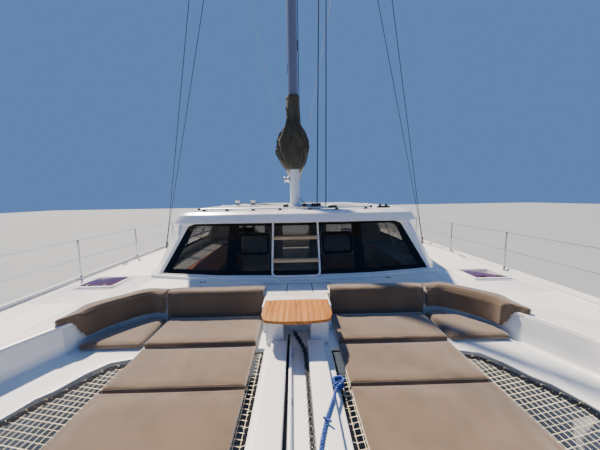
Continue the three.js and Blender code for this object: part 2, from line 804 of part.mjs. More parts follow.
// Where each shroud passes the tip of its spreader
const ELBOW = [SPREADER.x + WIRE + 1, SPREADER.y + 8, SPREADER.z]

// The shroud from its chainplate in the deck up to the spreader
function shroud() {
  const top = 2080
  const chainplate = block([CHAINPLATE.x - 8, CHAINPLATE.x + 8], [CHAINPLATE.y - 45, CHAINPLATE.y + 45],
    [DECK + GAP, top])
  const wire = rod([CHAINPLATE.x, CHAINPLATE.y, top - 30], ELBOW, WIRE, 6)
  return cut(chainplate.add(wire), spreaderBar(1))
}

// Its upper length, from the spreader to the mast
function shroudUpper() {
  const [x, y, z] = ELBOW
  const wire = rod([x - 0.6, y, z + 2], [MAST.halfWide - 20, MAST.y + 20, MAST.hounds], WIRE, 6)
  return cut(wire, mastRoom(GAP), spreaderBar(1))
}

function boom() {
  const { low, high, halfWide, end, y } = BOOM
  const section = [[-halfWide, low + 50], [-halfWide + 30, low], [halfWide - 30, low], [halfWide, low + 50],
    [halfWide, high - 40], [halfWide - 30, high], [-halfWide + 30, high], [-halfWide, high - 40]]
  const beam = alongY(section, [y + 75, end])
  const tongue = block([-22, 22], [y, y + 90], [low + 46, high - 46])
  const eye = rod([0, y, low + 46], [0, y, high - 46], 26, 16)
  const pin = rod([0, y, low + 45.6], [0, y, high - 45.6], 20, 16)
  return join([beam, tongue, eye, pin])
}

function sailBag() {
  const rings = [
    // y, base half width, belly half width, belly z, top half width, top z
    [70, 95, 235, 4080, 50, 4650],
    [1200, 110, 225, 4080, 60, 4560],
    [3200, 110, 190, 4000, 55, 4330],
    [5050, 90, 120, 3880, 40, 4060],
  ].map(([y, base, belly, bellyZ, top, topZ]) => [
    [-base, BOOM.high + GAP], [base, BOOM.high + GAP], [belly, bellyZ], [top, topZ], [-top, topZ], [-belly, bellyZ],
  ].map(([x, z]) => new THREE.Vector3(x, y, z)))
  return loft(rings)
}

// The front of the sail bag, laced round the mast
function bagFlap() {
  const rings = [
    // z, left x, right x, front y
    [3740, -170, 150, -700],
    [4060, -350, 285, -760],
    [4310, -300, 260, -770],
    [4620, -150, 130, -715],
    [5080, -125, 120, -690],
  ].map(([z, left, right, front]) => [
    [left, -560], [0.45 * left, front], [0.45 * right, front], [right, -560], [right * 0.9, -470], [left * 0.9, -470],
  ].map(([x, y]) => new THREE.Vector3(x, y, z)))
  return cut(loft(rings), mastRoom(GAP + 0.2))
}

// Inside the saloon

function saloonFurniture() {
  const z = [FLOOR + GAP, 1600]
  const setteeFront = block([200, 2140], [SALOON_FRONT + GAP, -800], z)
  const setteeSide = block([1550, 2140], [-900, 900], z)
  const setteeBack = block([2040, 2140], [-900, 900], [1590, 1850])
  const counter = block([-2140, -1500], [SALOON_FRONT + GAP, 1700], [FLOOR + GAP, 1850])
  const cabinet = block([-1600, 250], [SALOON_FRONT + GAP, -1000], [FLOOR + GAP, 1850])
  return join([setteeFront, setteeSide, setteeBack, counter, cabinet])
}

function saloonTable() {
  const top = block([550, 1450], [-700, 300], [1800, 1840])
  const leg = rod([1000, -200, FLOOR + GAP], [1000, -200, 1810], 60, 12)
  return top.add(leg)
}

// Cockpit

function saloonDoor() {
  return block([-470, 470], [BULKHEAD + SWING, BULKHEAD + SWING + 30], [FLOOR + SWING, 2689.5])
}

function cockpitTable() {
  const top = block([450, 1250], [3500, 4500], [1800, 1840])
  const leg = rod([850, 4000, FLOOR + GAP], [850, 4000, 1810], 60, 12)
  return top.add(leg)
}

function steeringWheel() {
  const { x, y, z, radius } = WHEEL
  const rim = new THREE.TorusGeometry(radius, 16, 6, 28)
  rim.rotateX(Math.PI / 2)
  rim.translate(x, y, z)
  const hub = rod([x, HELM_FACE + 0.6, z], [x, y + 25, z], 32, 12)
  const spokes = [0, 1, 2, 3, 4].map((number) => {
    const angle = number * 2 * Math.PI / 5
    return rod([x, y, z], [x + radius * Math.sin(angle), y, z + radius * Math.cos(angle)], 9, 6)
  })
  return join([solid(rim), hub, ...spokes])
}

// Assembly
placePair('hull', hull(), gelcoat)
placePair('rudder', rudder(), darkPaint)
placePair('saildrive', saildrive(), alloy)
placePair('propeller', propeller(), bronze)
place('bridgedeck', bridgedeck(), gelcoat)
place('deck', deck(), nonskid)
placePair('deck_hatch', hatchLid(), acrylic)
place('house_walls', houseWalls(), gelcoat)
place('windscreen', windscreen(), glass)
placePair('window_hatch', sash(), glass)
placePair('side_glass', sideGlass(), glass)
place('coachroof', coachroof(), gelcoat)
place('hardtop', hardtop(), gelcoat)
place('front_ladder', frontLadder(), alloy)
place('crossbeam', crossbeam(), alloy)
place('longeron', longeron(), gelcoat)
placePair('net', netPlate(), netting)
place('anchor_and_chain', anchor(), galvanised)
place('snubber_rope', snubberRope(), blueRope)
place('foredeck_table_base', tableBase(), gelcoat)
placePair('table_leaf', tableLeaf(), teak)
placePair('back_straight', backStraight(), canvas)
placePair('back_curved', backCurved(), canvas)
placePair('seat_inner', seatInner(), canvas)
placePair('seat_outer', seatOuter(), canvas)
placePair('pad_aft', padAft(), canvas)
placePair('pad_fore', padFore(), canvas)
placePair('guardrail', guardrail(), steel)
place('mast', mast(), alloy)
place('furled_headsail', furledHeadsail(), sailcloth)
placePair('spreader', spreader(), alloy)
placePair('shroud', shroud(), steel)
placePair('shroud_upper', shroudUpper(), steel)
place('boom', boom(), alloy)
place('sail_bag', sailBag(), sailcloth)
place('bag_flap', bagFlap(), sailcloth)
place('saloon_furniture', saloonFurniture(), veneer)
place('saloon_table', saloonTable(), veneer)
place('saloon_door', saloonDoor(), glass)
place('cockpit_table', cockpitTable(), teak)
place('steering_wheel', steeringWheel(), steel)

export default group
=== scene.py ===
import math

import bmesh
import bpy
import numpy as np
from mathutils import Matrix, Vector, noise
from mathutils.bvhtree import BVHTree


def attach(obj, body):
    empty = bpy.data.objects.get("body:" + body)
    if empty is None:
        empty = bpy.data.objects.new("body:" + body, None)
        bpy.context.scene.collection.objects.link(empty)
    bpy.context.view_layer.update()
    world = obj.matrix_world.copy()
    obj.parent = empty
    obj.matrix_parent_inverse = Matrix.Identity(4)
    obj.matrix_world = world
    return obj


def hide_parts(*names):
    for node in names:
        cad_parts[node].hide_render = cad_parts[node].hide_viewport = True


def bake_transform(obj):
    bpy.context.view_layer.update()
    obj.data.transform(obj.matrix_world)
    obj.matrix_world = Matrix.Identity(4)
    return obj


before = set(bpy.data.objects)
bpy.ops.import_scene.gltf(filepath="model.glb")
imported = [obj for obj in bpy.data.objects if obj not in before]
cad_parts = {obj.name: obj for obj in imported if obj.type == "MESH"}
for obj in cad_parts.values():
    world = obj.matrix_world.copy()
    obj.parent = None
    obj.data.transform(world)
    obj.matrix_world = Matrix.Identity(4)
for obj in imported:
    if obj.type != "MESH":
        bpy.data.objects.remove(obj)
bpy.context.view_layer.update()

# Camera. It stands over the foredeck pads at standing height, with a very wide lens,
# and looks aft along the centreline, turned and tilted by about a degree.
CAMERA_PLACE = (0.004, -5.45, 3.2)
CAMERA_YAW, CAMERA_PITCH, CAMERA_ROLL = (math.radians(a) for a in (1.02, -6.18, -0.94))
camera = bpy.data.objects.new("camera", bpy.data.cameras.new("camera"))
camera.data.lens = 15
camera.data.sensor_width = 36
camera.data.clip_end = 200
bpy.context.collection.objects.link(camera)
ahead = Vector((math.sin(CAMERA_YAW) * math.cos(CAMERA_PITCH),
                math.cos(CAMERA_YAW) * math.cos(CAMERA_PITCH), math.sin(CAMERA_PITCH)))
level = Vector((math.cos(CAMERA_YAW), -math.sin(CAMERA_YAW), 0))
upward = level.cross(ahead)
right = level * math.cos(CAMERA_ROLL) + upward * math.sin(CAMERA_ROLL)
camera.matrix_world = Matrix.Translation(CAMERA_PLACE) @ Matrix(
    (right, right.cross(ahead), -ahead)).transposed().to_4x4()
bpy.context.scene.camera = camera


# Hulls: two slim glassfibre hulls, laid up in a polished mould and sprayed with white gelcoat,
# with dark antifouling paint and a boot stripe at the waterline and long acrylic windows
# bonded into the topsides. Each carries a stub keel, laid up and bonded under it.
def linear(text):
    """A colour given as sRGB hex, as linear light."""
    shares = [int(text[i:i + 2], 16) / 255 for i in (1, 3, 5)]
    return tuple(s / 12.92 if s <= 0.04045 else ((s + 0.055) / 1.055) ** 2.4 for s in shares) + (1.0,)


def add(material, kind, settings=None, links=None):
    """Adds one node to a material, with its settings and with links into it."""
    made = material.node_tree.nodes.new(kind)
    for key, value in (settings or {}).items():
        if isinstance(key, str) and hasattr(made, key):
            setattr(made, key, value)
        else:
            made.inputs[key].default_value = value
    for key, output in (links or {}).items():
        material.node_tree.links.new(output, made.inputs[key])
    return made


def finish_named(name, hex_colour, **sockets):
    """A new material with its surface shader; sockets are constants on the shader."""
    material = bpy.data.materials.new(name)
    material.use_nodes = True
    shader = material.node_tree.nodes["Principled BSDF"]
    shader.inputs["Base Color"].default_value = linear(hex_colour)
    for key, value in sockets.items():
        shader.inputs[key.replace("_", " ")].default_value = value
    return material, shader


def ramp(material, share, stops, constant=False):
    """A colour ramp over a value, from (place, sRGB hex) stops."""
    made = add(material, "ShaderNodeValToRGB", {}, {"Fac": share})
    made.color_ramp.interpolation = "CONSTANT" if constant else "LINEAR"
    while len(made.color_ramp.elements) < len(stops):
        made.color_ramp.elements.new(0.5)
    for element, (place, text) in zip(made.color_ramp.elements, stops):
        element.position = place
        element.color = linear(text)
    return made.outputs["Color"]


def cover(material, shader, colour=None, roughness=None, height=None, distance=0.001, strength=1.0):
    """Links a material's patterns to its shader: colour, roughness range and bump height."""
    link = material.node_tree.links.new
    if colour is not None:
        link(colour, shader.inputs["Base Color"])
    if roughness is not None:
        source, low, high = roughness
        spread = add(material, "ShaderNodeMapRange", {"To Min": low, "To Max": high}, {"Value": source})
        link(spread.outputs["Result"], shader.inputs["Roughness"])
    if height is not None:
        bump = add(material, "ShaderNodeBump", {"Strength": strength, "Distance": distance}, {"Height": height})
        link(bump.outputs["Normal"], shader.inputs["Normal"])
    return material


def object_point(material, scale=(1, 1, 1), turn=(0, 0, 0)):
    """The point on the piece in metres, scaled to pattern units."""
    place = add(material, "ShaderNodeTexCoord").outputs["Object"]
    mapped = add(material, "ShaderNodeMapping", {"Scale": scale, "Rotation": turn}, {"Vector": place})
    return mapped.outputs["Vector"]


def mottle(material, cell, detail=4, stretch=(1, 1, 1)):
    """Cloudy variation with cells of a size in metres."""
    point = object_point(material, tuple(s / cell for s in stretch))
    return add(material, "ShaderNodeTexNoise", {"Scale": 1.0, "Detail": detail}, {"Vector": point}).outputs["Fac"]


# Polished polyester gelcoat: a deep gloss with the faint waviness of the mould.
def gelcoat_finish(name, light, dark, painted_below=None):
    material, shader = finish_named(name, light, Roughness=0.26, IOR=1.5, Coat_Weight=0.35, Coat_Roughness=0.06)
    cloud = mottle(material, 0.9)
    colour = ramp(material, cloud, [(0.3, dark), (0.7, light)])
    if painted_below is not None:
        split = add(material, "ShaderNodeSeparateXYZ", {}, {"Vector": object_point(material)})
        bands = add(material, "ShaderNodeMapRange", {"From Min": -1.0, "From Max": 1.0}, {"Value": split.outputs["Z"]})
        paint = ramp(material, bands.outputs["Result"],
                     [(0.0, "#22303f"), (0.5 + painted_below / 2, "#eef1f4"), (0.575, "#27405c"), (0.6, "#eef1f4")],
                     constant=True)
        mixed = add(material, "ShaderNodeMix", {"data_type": "RGBA", "blend_type": "MULTIPLY", 0: 1.0})
        material.node_tree.links.new(colour, mixed.inputs["A"])
        material.node_tree.links.new(paint, mixed.inputs["B"])
        colour = mixed.outputs["Result"]
    return cover(material, shader, colour, (mottle(material, 0.5), 0.24, 0.3), mottle(material, 0.6), 0.0012, 0.25)


hull_gelcoat = gelcoat_finish("hull_gelcoat", "#eef1f4", "#e3e8ec", painted_below=0.09)
gelcoat = gelcoat_finish("moulded_gelcoat", "#f1f2f2", "#e6e9eb")


def clouded_finish(name, colour, tone, gloss, relief, **sockets):
    """A material with cloudy variation in its tone (cell, dark, light), its roughness (cell, low, high)
    and its relief (cell, height, strength). Cells and heights are in metres."""
    material, shader = finish_named(name, colour, **sockets)
    clouds = ramp(material, mottle(material, tone[0]), [(0.3, tone[1]), (0.7, tone[2])])
    return cover(material, shader, clouds, (mottle(material, gloss[0]), *gloss[1:]),
                 mottle(material, relief[0]), *relief[1:])


# Smoked acrylic, bonded flush with black sealant: almost black, with a wet gloss.
smoked_acrylic = clouded_finish("smoked_acrylic", "#0b0d10", (0.6, "#08090c", "#14171b"), (0.04, 0.04, 0.12),
                                (0.7, 0.001, 0.15), Roughness=0.06, IOR=1.49, Specular_IOR_Level=0.22)


def mirrored(part):
    points, faces = part
    return [(-x, y, z) for x, y, z in points], [face[::-1] for face in faces]


def piece(name, parts, material, body="boat", stands_for=(), crease=35):
    """One mesh object from (points, faces) parts; it rides on a body, and faces flatter than crease are smooth."""
    points, faces = [], []
    for some_points, some_faces in parts:
        start = len(points)
        points += some_points
        faces += [[start + i for i in face] for face in some_faces]
    made = as_object(name, points, faces)
    mesh = made.data
    mesh.validate()
    mesh.materials.append(material)
    mesh.polygons.foreach_set("use_smooth", [True] * len(mesh.polygons))
    mesh.set_sharp_from_angle(angle=math.radians(crease))
    if body:
        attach(made, body)
    if stands_for:
        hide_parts(*stands_for)
    return made


def pair(name, parts, material, body="boat", stands_for=(), crease=35):
    """The same piece on both sides, from the port one's parts."""
    return [piece(f"{name}_{side}", parts if side == "port" else [mirrored(p) for p in parts], material,
                  body.format(side=side), [node.format(side=side) for node in stands_for], crease)
            for side in ("port", "starboard")]


def skin(rings, hooped=False):
    """A skin over rings of as many points each, with flat ends, or joined to its start as a hoop."""
    count, last = len(rings[0]), len(rings) - 1
    faces = [[r * count + i, r * count + (i + 1) % count, (r + 1) % len(rings) * count + (i + 1) % count,
              (r + 1) % len(rings) * count + i] for r in range(last + hooped) for i in range(count)]
    if not hooped:
        faces += [list(range(count))[::-1], [last * count + i for i in range(count)]]
    return outward(([tuple(p) for ring in rings for p in ring], faces))


def outward(part):
    """The part with its faces turned out, judged by its volume."""
    points, faces = part
    volume = 0.0
    for face in faces:
        first = Vector(points[face[0]])
        for b, c in zip(face[1:], face[2:]):
            volume += first.dot(Vector(points[b]).cross(Vector(points[c])))
    return part if volume > 0 else (points, [face[::-1] for face in faces])


def curve_through(points, steps):
    """Points of a smooth line through a few, steps to each span."""
    rows = np.array(points, float)
    padded = np.vstack([2 * rows[0] - rows[1], rows, 2 * rows[-1] - rows[-2]])
    share = np.linspace(0, 1, steps, endpoint=False)[:, None]
    made = []
    for a, b, c, d in zip(padded, padded[1:], padded[2:], padded[3:]):
        made.append(0.5 * (2 * b + (c - a) * share + (2 * a - 5 * b + 4 * c - d) * share ** 2
                           + (3 * b - a - 3 * c + d) * share ** 3))
    return np.vstack(made + [rows[-1:]])


# Columns: y, half-breadths at the deck (inner, outer) and near the water (inner, outer), keel line
HULL_STATIONS = [
    (-6.75, 2.92, 2.99, 2.935, 2.975, -0.12), (-6.35, 2.77, 3.14, 2.86, 3.04, -0.30),
    (-5.3, 2.45, 3.40, 2.69, 3.19, -0.46), (-3.7, 2.29, 3.59, 2.54, 3.34, -0.56),
    (-1.4, 2.20, 3.68, 2.43, 3.43, -0.61), (0.8, 2.20, 3.70, 2.42, 3.45, -0.60),
    (3.0, 2.20, 3.69, 2.43, 3.44, -0.52), (5.0, 2.21, 3.64, 2.45, 3.41, -0.34),
    (6.1, 2.24, 3.57, 2.48, 3.37, -0.17), (6.65, 2.27, 3.52, 2.52, 3.33, -0.06),
]
DECK_UNDERSIDE = 1.8597
# The topside runs out from the water to a knuckle, three quarters of the way to its full breadth
WATER_Z, KNUCKLE_Z, KNUCKLE_SHARE, FULL_Z = 0.18, 0.9, 0.75, 1.5
hull_lines = curve_through(HULL_STATIONS, 6)


def between(place, places, values):
    """A value read between the rows of a table."""
    return float(np.interp(place, places, values))


def hull_at(y):
    return [between(y, hull_lines[:, 0], hull_lines[:, i]) for i in range(1, 6)]


def hull_ring(row):
    y, inner, outer, water_in, water_out, keel = (float(v) for v in row)
    width, middle = water_out - water_in, (water_in + water_out) / 2
    bottom = curve_through([
        (water_in, WATER_Z), (water_in + 0.1 * width, 0.5 * keel), (middle - 0.22 * width, 0.93 * keel),
        (middle, keel), (middle + 0.22 * width, 0.93 * keel), (water_out - 0.1 * width, 0.5 * keel),
        (water_out, WATER_Z)], 4)
    inboard = [(inner, DECK_UNDERSIDE), (inner, 1.3), (inner, 1.2), ((inner + water_in) / 2, 0.62)]
    outboard = [(water_out + KNUCKLE_SHARE * (outer - water_out), KNUCKLE_Z), (outer, FULL_Z), (outer, 1.6),
                (outer, DECK_UNDERSIDE)]
    return [(x, y, z) for x, z in inboard + [tuple(p) for p in bottom] + outboard]


RECESS_EDGE = [(1.98, -2.14), (2.2, -2.34), (2.4, -2.62), (2.45, -2.85), (2.53, -3.01), (2.69, -3.4),
               (2.74, -4.3), (2.79, -5.3), (2.85, -5.9)]
LEDGE = 1.57
STERN_STEPS = [(5.35, 2.2), (5.35, 1.56), (5.7, 1.56), (5.7, 1.19), (6.05, 1.19), (6.05, 0.82), (6.35, 0.82),
               (6.35, 0.45), (7.0, 0.45), (7.0, 2.2)]


def prism(outline, low, high, axis="z"):
    """An outline pushed along an axis between two values."""
    order = {"z": lambda u, v, w: (u, v, w), "x": lambda u, v, w: (w, u, v), "y": lambda u, v, w: (u, w, v)}[axis]
    return skin([[order(u, v, w) for u, v in outline] for w in (low, high)])


def as_object(name, points, faces):
    """A mesh object from points and faces, in the scene."""
    mesh = bpy.data.meshes.new(name)
    mesh.from_pydata([tuple(p) for p in points], [], faces)
    made = bpy.data.objects.new(name, mesh)
    bpy.context.collection.objects.link(made)
    return made


def evaluated(blank):
    """A blank's mesh with its modifiers applied."""
    return blank.evaluated_get(bpy.context.evaluated_depsgraph_get()).to_mesh()


def taken_off(blank, *tools):
    """A blank's points and faces with its modifiers applied. The blank and its tools go."""
    result = evaluated(blank)
    taken = [v.co.copy() for v in result.vertices], [list(p.vertices) for p in result.polygons]
    for used in (blank, *tools):
        bpy.data.objects.remove(used)
    return taken


def carved(part, tools):
    """A closed part with closed tools cut out of it."""
    made = [as_object(f"blank_{number}", *form) for number, form in enumerate([part, *tools])]
    for tool in made[1:]:
        cut = made[0].modifiers.new("cut", "BOOLEAN")
        cut.object = tool
        cut.operation = "DIFFERENCE"
        cut.solver = "EXACT"
    return taken_off(*made)


def softened(part, width, segments=2, angle=30):
    """A part with coplanar faces joined and its edges rounded."""
    bm = bmesh.new()
    points, faces = part
    corners = [bm.verts.new(p) for p in points]
    for face in faces:
        if len(set(face)) > 2:
            try:
                bm.faces.new([corners[i] for i in face])
            except ValueError:
                continue
    bmesh.ops.remove_doubles(bm, verts=bm.verts, dist=1e-5)
    bmesh.ops.dissolve_limit(bm, angle_limit=math.radians(0.4), verts=bm.verts, edges=bm.edges)
    sharp = [e for e in bm.edges if len(e.link_faces) == 2 and e.calc_face_angle(0) > math.radians(angle)]
    bmesh.ops.bevel(bm, geom=sharp, offset=width, segments=segments, profile=0.5, affect="EDGES", clamp_overlap=True)
    bm.verts.index_update()
    taken = [tuple(v.co) for v in bm.verts], [[v.index for v in f.verts] for f in bm.faces]
    bm.free()
    return taken


hull_blank = skin([hull_ring(row) for row in hull_lines])
recess_tool = prism([(1.0, -2.14)] + RECESS_EDGE + [(1.0, -5.9)], LEDGE, 3)
hull_solid = carved(hull_blank, [recess_tool, prism(STERN_STEPS, 1.5, 4.5, "x")])

# Rows: z, leading edge, trailing edge, half thickness
KEEL_ROWS = [(-0.45, -1.25, 1.74, 0.165), (-0.8, -1.12, 1.66, 0.14), (-1.15, -0.98, 1.58, 0.11),
             (-1.22, -0.93, 1.55, 0.08), (-1.2497, -0.86, 1.48, 0.03)]
HULL_MIDDLE = 2.93


def turns(count):
    """The angles of one full turn in equal steps."""
    return [2 * math.pi * i / count for i in range(count)]


def foil_rings(rows):
    """Foil sections, round at the nose and thin at the tail."""
    rings = []
    for z, front, back, half in rows:
        ring = []
        for turn in turns(24):
            share = (1 - math.cos(turn)) / 2
            thick = 2.6 * half * (0.62 * math.sqrt(share) - 0.26 * share - 0.36 * share ** 2)
            ring.append((HULL_MIDDLE + math.copysign(max(thick, 0.003), math.sin(turn)),
                         front + share * (back - front), z))
        rings.append(ring)
    return rings


pair("hull_shell", [softened(hull_solid, 0.012, 3, 40), skin(foil_rings(KEEL_ROWS))], hull_gelcoat,
     stands_for=["hull_{side}"], crease=30)


def outer_side(y, z):
    """Where the topside lies at a height."""
    _, outer, _, water_out, _ = hull_at(y)
    knuckle = water_out + KNUCKLE_SHARE * (outer - water_out)
    return between(z, [WATER_Z, KNUCKLE_Z, FULL_Z], [water_out, knuckle, outer])


def hull_window(y_from, y_to, z_from, z_to, slant):
    """A pane with round ends, 4 mm proud of the topside."""
    rings = []
    for share in np.linspace(0, 1, 25):
        end = math.sqrt(max(0.0, 1 - abs(2 * share - 1) ** 9))
        y, middle = y_from + share * (y_to - y_from), (z_from + z_to) / 2
        half = end * (z_to - z_from) / 2 + 0.002
        heights = np.linspace(middle - half, middle + half, 7)
        front = [(outer_side(y, z) + 0.004, y + slant * (z - middle), z) for z in heights]
        back = [(x - 0.012, y, z) for x, y, z in front[::-1]]
        rings.append(front + back)
    return skin(rings)


pair("hull_windows", [hull_window(-3.5, -1.1, 1.18, 1.42, 0.2), hull_window(-0.6, 1.5, 1.18, 1.42, 0.2),
                      hull_window(2.6, 3.9, 1.18, 1.38, 0.2)], smoked_acrylic)

# Rubbing strake: a half-round of extruded white vinyl, riveted along the topside under the gunwale.
# It is smooth and even, a shade greyer and duller than the gelcoat.
vinyl = clouded_finish("extruded_white_vinyl", "#dfe3e6", (0.3, "#d3d8dc", "#e4e8ea"), (0.02, 0.38, 0.55),
                       (0.01, 0.0004, 0.3), Roughness=0.45, IOR=1.46)


def strake(z, proud, high):
    rings = []
    for y in np.linspace(-6.4, 5.9, 60):
        x = outer_side(float(y), z)
        rings.append([(x - 0.004, y, z - high), (x + proud * 0.8, y, z - high * 0.6), (x + proud, y, z),
                      (x + proud * 0.8, y, z + high * 0.6), (x - 0.004, y, z + high)])
    return skin(rings)


pair("rubbing_strake", [strake(1.72, 0.012, 0.024)], vinyl)

# Rudders: glassfibre blades on stainless stocks, painted with the same antifouling.
# Each hangs under its hull and turns with its own body.
antifouling = clouded_finish("antifouling_paint", "#22303f", (0.25, "#1e2a38", "#2a3a4b"), (0.02, 0.65, 0.85),
                             (0.004, 0.0004, 0.6), Roughness=0.75, IOR=1.45)
RUDDER_ROWS = [(-0.3453, 5.25, 5.685, 0.03), (-0.7, 5.262, 5.66, 0.027), (-1.06, 5.285, 5.63, 0.022),
               (-1.1197, 5.315, 5.6, 0.006)]


def frames_along(points):
    """Two directions across a line at each of its points, carried along without twist."""
    rows = [Vector(p) for p in points]
    across, made = None, []
    for i, here in enumerate(rows):
        ahead = (rows[min(i + 1, len(rows) - 1)] - rows[max(i - 1, 0)]).normalized()
        if across is None:
            across = ahead.orthogonal().normalized()
        across = (across - ahead * across.dot(ahead)).normalized()
        made.append((here, across, ahead.cross(across)))
    return made


def bar(points, radius, around=12, squeeze=1.0):
    """A round bar along a line of points; radius is one number or one for each point."""
    sizes = radius if hasattr(radius, "__len__") else [radius] * len(points)
    rings = []
    for (here, u, v), size in zip(frames_along(points), sizes):
        rings.append([here + u * size * math.cos(a) + v * size * squeeze * math.sin(a)
                      for a in turns(around)])
    return skin(rings)


def lathed(profile, start, end, around=32):
    """A turned form: profile rows are distance along the axis and radius."""
    start, along = Vector(start), (Vector(end) - Vector(start)).normalized()
    u = along.orthogonal().normalized()
    v = along.cross(u)
    return skin([[start + along * far + (u * math.cos(a) + v * math.sin(a)) * max(size, 0.0004)
                  for a in turns(around)] for far, size in profile])


def upright(profile, x, y, foot, around=32):
    """A turned form on an upright axis."""
    return lathed(profile, (x, y, foot), (x, y, foot + 1), around)


rudder_stock = bar([(HULL_MIDDLE, 5.4, -0.36), (HULL_MIDDLE, 5.4, -0.131)], 0.0298, 32)
pair("rudder_blade", [skin(foil_rings(RUDDER_ROWS)), rudder_stock], antifouling, "rudder_{side}",
     ["rudder_{side}"])

# Saildrives: cast aluminium legs under each hull with a torpedo-shaped gearbox and a zinc ring.
# The leg is primed and painted an even, dull grey.
cast_alloy = clouded_finish("painted_cast_aluminium", "#7d858c", (0.08, "#737b83", "#88919a"), (0.01, 0.42, 0.62),
                            (0.003, 0.0004, 0.5), Roughness=0.5, Metallic=0.3)
SHAFT_Z = -0.88
leg_rows = [(-0.5, 3.86, 4.17, 0.045), (-0.7, 3.88, 4.16, 0.042), (-0.865, 3.9, 4.15, 0.04)]
gearbox = lathed([(0, 0.0), (0.012, 0.028), (0.03, 0.046), (0.07, 0.062), (0.12, 0.07), (0.26, 0.07), (0.33, 0.058),
                  (0.37, 0.05)], (HULL_MIDDLE, 3.819, SHAFT_Z), (HULL_MIDDLE, 4.19, SHAFT_Z))
zinc_ring = lathed([(0.0, 0.05), (0.0, 0.056), (0.012, 0.058), (0.012, 0.05)], (HULL_MIDDLE, 4.17, SHAFT_Z),
                   (HULL_MIDDLE, 4.19, SHAFT_Z))
pair("saildrive_leg", [skin(foil_rings(leg_rows)), gearbox, zinc_ring], cast_alloy,
     stands_for=["saildrive_{side}"])

# Propellers: three broad bronze blades, cast with their hub and polished, with a cone nut behind.
# The bronze is bright and warm, browner where the water has dulled it.
bronze, shader = finish_named("cast_bronze", "#b08a45", Roughness=0.3, Metallic=1.0)
cover(bronze, shader, ramp(bronze, mottle(bronze, 0.06), [(0.25, "#8d6a30"), (0.75, "#c39d55")]),
      (mottle(bronze, 0.012), 0.22, 0.45), mottle(bronze, 0.01), 0.0003, 0.4)


def blade(turn):
    """A twisted blade: rows are radius, chord, pitch angle and thickness."""
    rings = []
    for radius, chord, pitch, thick in [(0.045, 0.06, 62, 0.012), (0.08, 0.1, 52, 0.01), (0.12, 0.135, 42, 0.008),
                                        (0.16, 0.14, 35, 0.007), (0.2, 0.11, 30, 0.005), (0.222, 0.06, 27, 0.004),
                                        (0.2285, 0.02, 26, 0.003)]:
        lean = math.radians(pitch)
        ring = []
        for a in turns(16):
            u, v = math.cos(a) * chord / 2, math.sin(a) * thick / 2
            ring.append(Vector((u * math.cos(lean) - v * math.sin(lean),
                                u * math.sin(lean) + v * math.cos(lean), radius)))
        rings.append(ring)
    spin = Matrix.Rotation(turn, 4, "Y")
    return skin([[Vector((HULL_MIDDLE, 4.228, SHAFT_Z)) + spin @ p for p in ring] for ring in rings])


propeller_hub = lathed([(0, 0.03), (0.0, 0.05), (0.006, 0.055), (0.066, 0.055), (0.07, 0.05), (0.074, 0.032),
                        (0.105, 0.026), (0.122, 0.012), (0.125, 0.0)], (HULL_MIDDLE, 4.1904, SHAFT_Z),
                       (HULL_MIDDLE, 4.3, SHAFT_Z))
pair("propeller_cast", [propeller_hub] + [blade(turn) for turn in turns(3)], bronze, "propeller_{side}",
     ["propeller_{side}"], crease=60)


# Bridgedeck: one white moulding between the hulls, with the cockpit's floor, bench and helm moulded in.
# Its corners are rounded so that it leaves the mould.
def node_part(node, width, segments=2, angle=30):
    """A CAD node's own shape with its edges rounded."""
    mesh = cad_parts[node].data
    return softened(([tuple(v.co) for v in mesh.vertices], [list(p.vertices) for p in mesh.polygons]),
                    width, segments, angle)


piece("bridgedeck_moulding", [node_part("bridgedeck", 0.014, 3)], gelcoat, stands_for=["bridgedeck"])

# Deck: white gelcoat with nonskid panels between smooth waterways. The nonskid is a fine raised
# diamond moulded into the surface: its real pitch is 3 mm, drawn at 9 mm so that it shows.
nonskid, shader = finish_named("moulded_nonskid", "#e8e3d9", Roughness=0.6, IOR=1.5)
turned_point = object_point(nonskid, (1 / 0.009,) * 3, (0, 0, math.radians(45)))
diamonds = add(nonskid, "ShaderNodeTexVoronoi", {"distance": "CHEBYCHEV", "Scale": 1.0, "Randomness": 0.0},
               {"Vector": turned_point}).outputs["Distance"]
cover(nonskid, shader, ramp(nonskid, mottle(nonskid, 0.7), [(0.3, "#e2e4e5"), (0.7, "#eeeeec")]),
      (mottle(nonskid, 0.03), 0.5, 0.72), diamonds, 0.0012, 0.5)
piece("deck_moulding", [node_part("deck", 0.006)], gelcoat, stands_for=["deck"])


def round_corners(outline, corner, steps=4):
    """A flat outline with its corners rounded."""
    rounded = []
    for i, here in enumerate(outline):
        here = Vector(here)
        before, after = Vector(outline[i - 1]) - here, Vector(outline[(i + 1) % len(outline)]) - here
        cut = min(corner, before.length / 2.2, after.length / 2.2)
        start, end = here + before.normalized() * cut, here + after.normalized() * cut
        for share in np.linspace(0, 1, steps + 1):
            rounded.append(tuple(start * (1 - share) ** 2 + here * 2 * share * (1 - share) + end * share ** 2))
    return rounded


def panel(outline, z, corner=0.05):
    """A flat panel with round corners that stands 2.2 mm above its floor, as moulded nonskid does."""
    return prism(round_corners(outline, corner), z - 0.004, z + 0.0022)


DECK = 1.9


def side_deck(y_from, y_to, inner, outer):
    """A nonskid panel along the side deck, with rows of y between its two edges."""
    rows = [y_from + (y_to - y_from) * i / 12 for i in range(13)]
    return panel([(inner(y), y) for y in rows] + [(outer(y), y) for y in rows[::-1]], DECK, corner=0.02)


def recess_x(y):
    return between(y, *[[row[k] for row in RECESS_EDGE[::-1]] for k in (1, 0)])


def house_x(y):
    return between(y, [-1.27, -0.9, 0.0, 2.72], [2.37, 2.6, 2.7, 2.75])


def rail_x(y):
    return hull_at(y)[1]


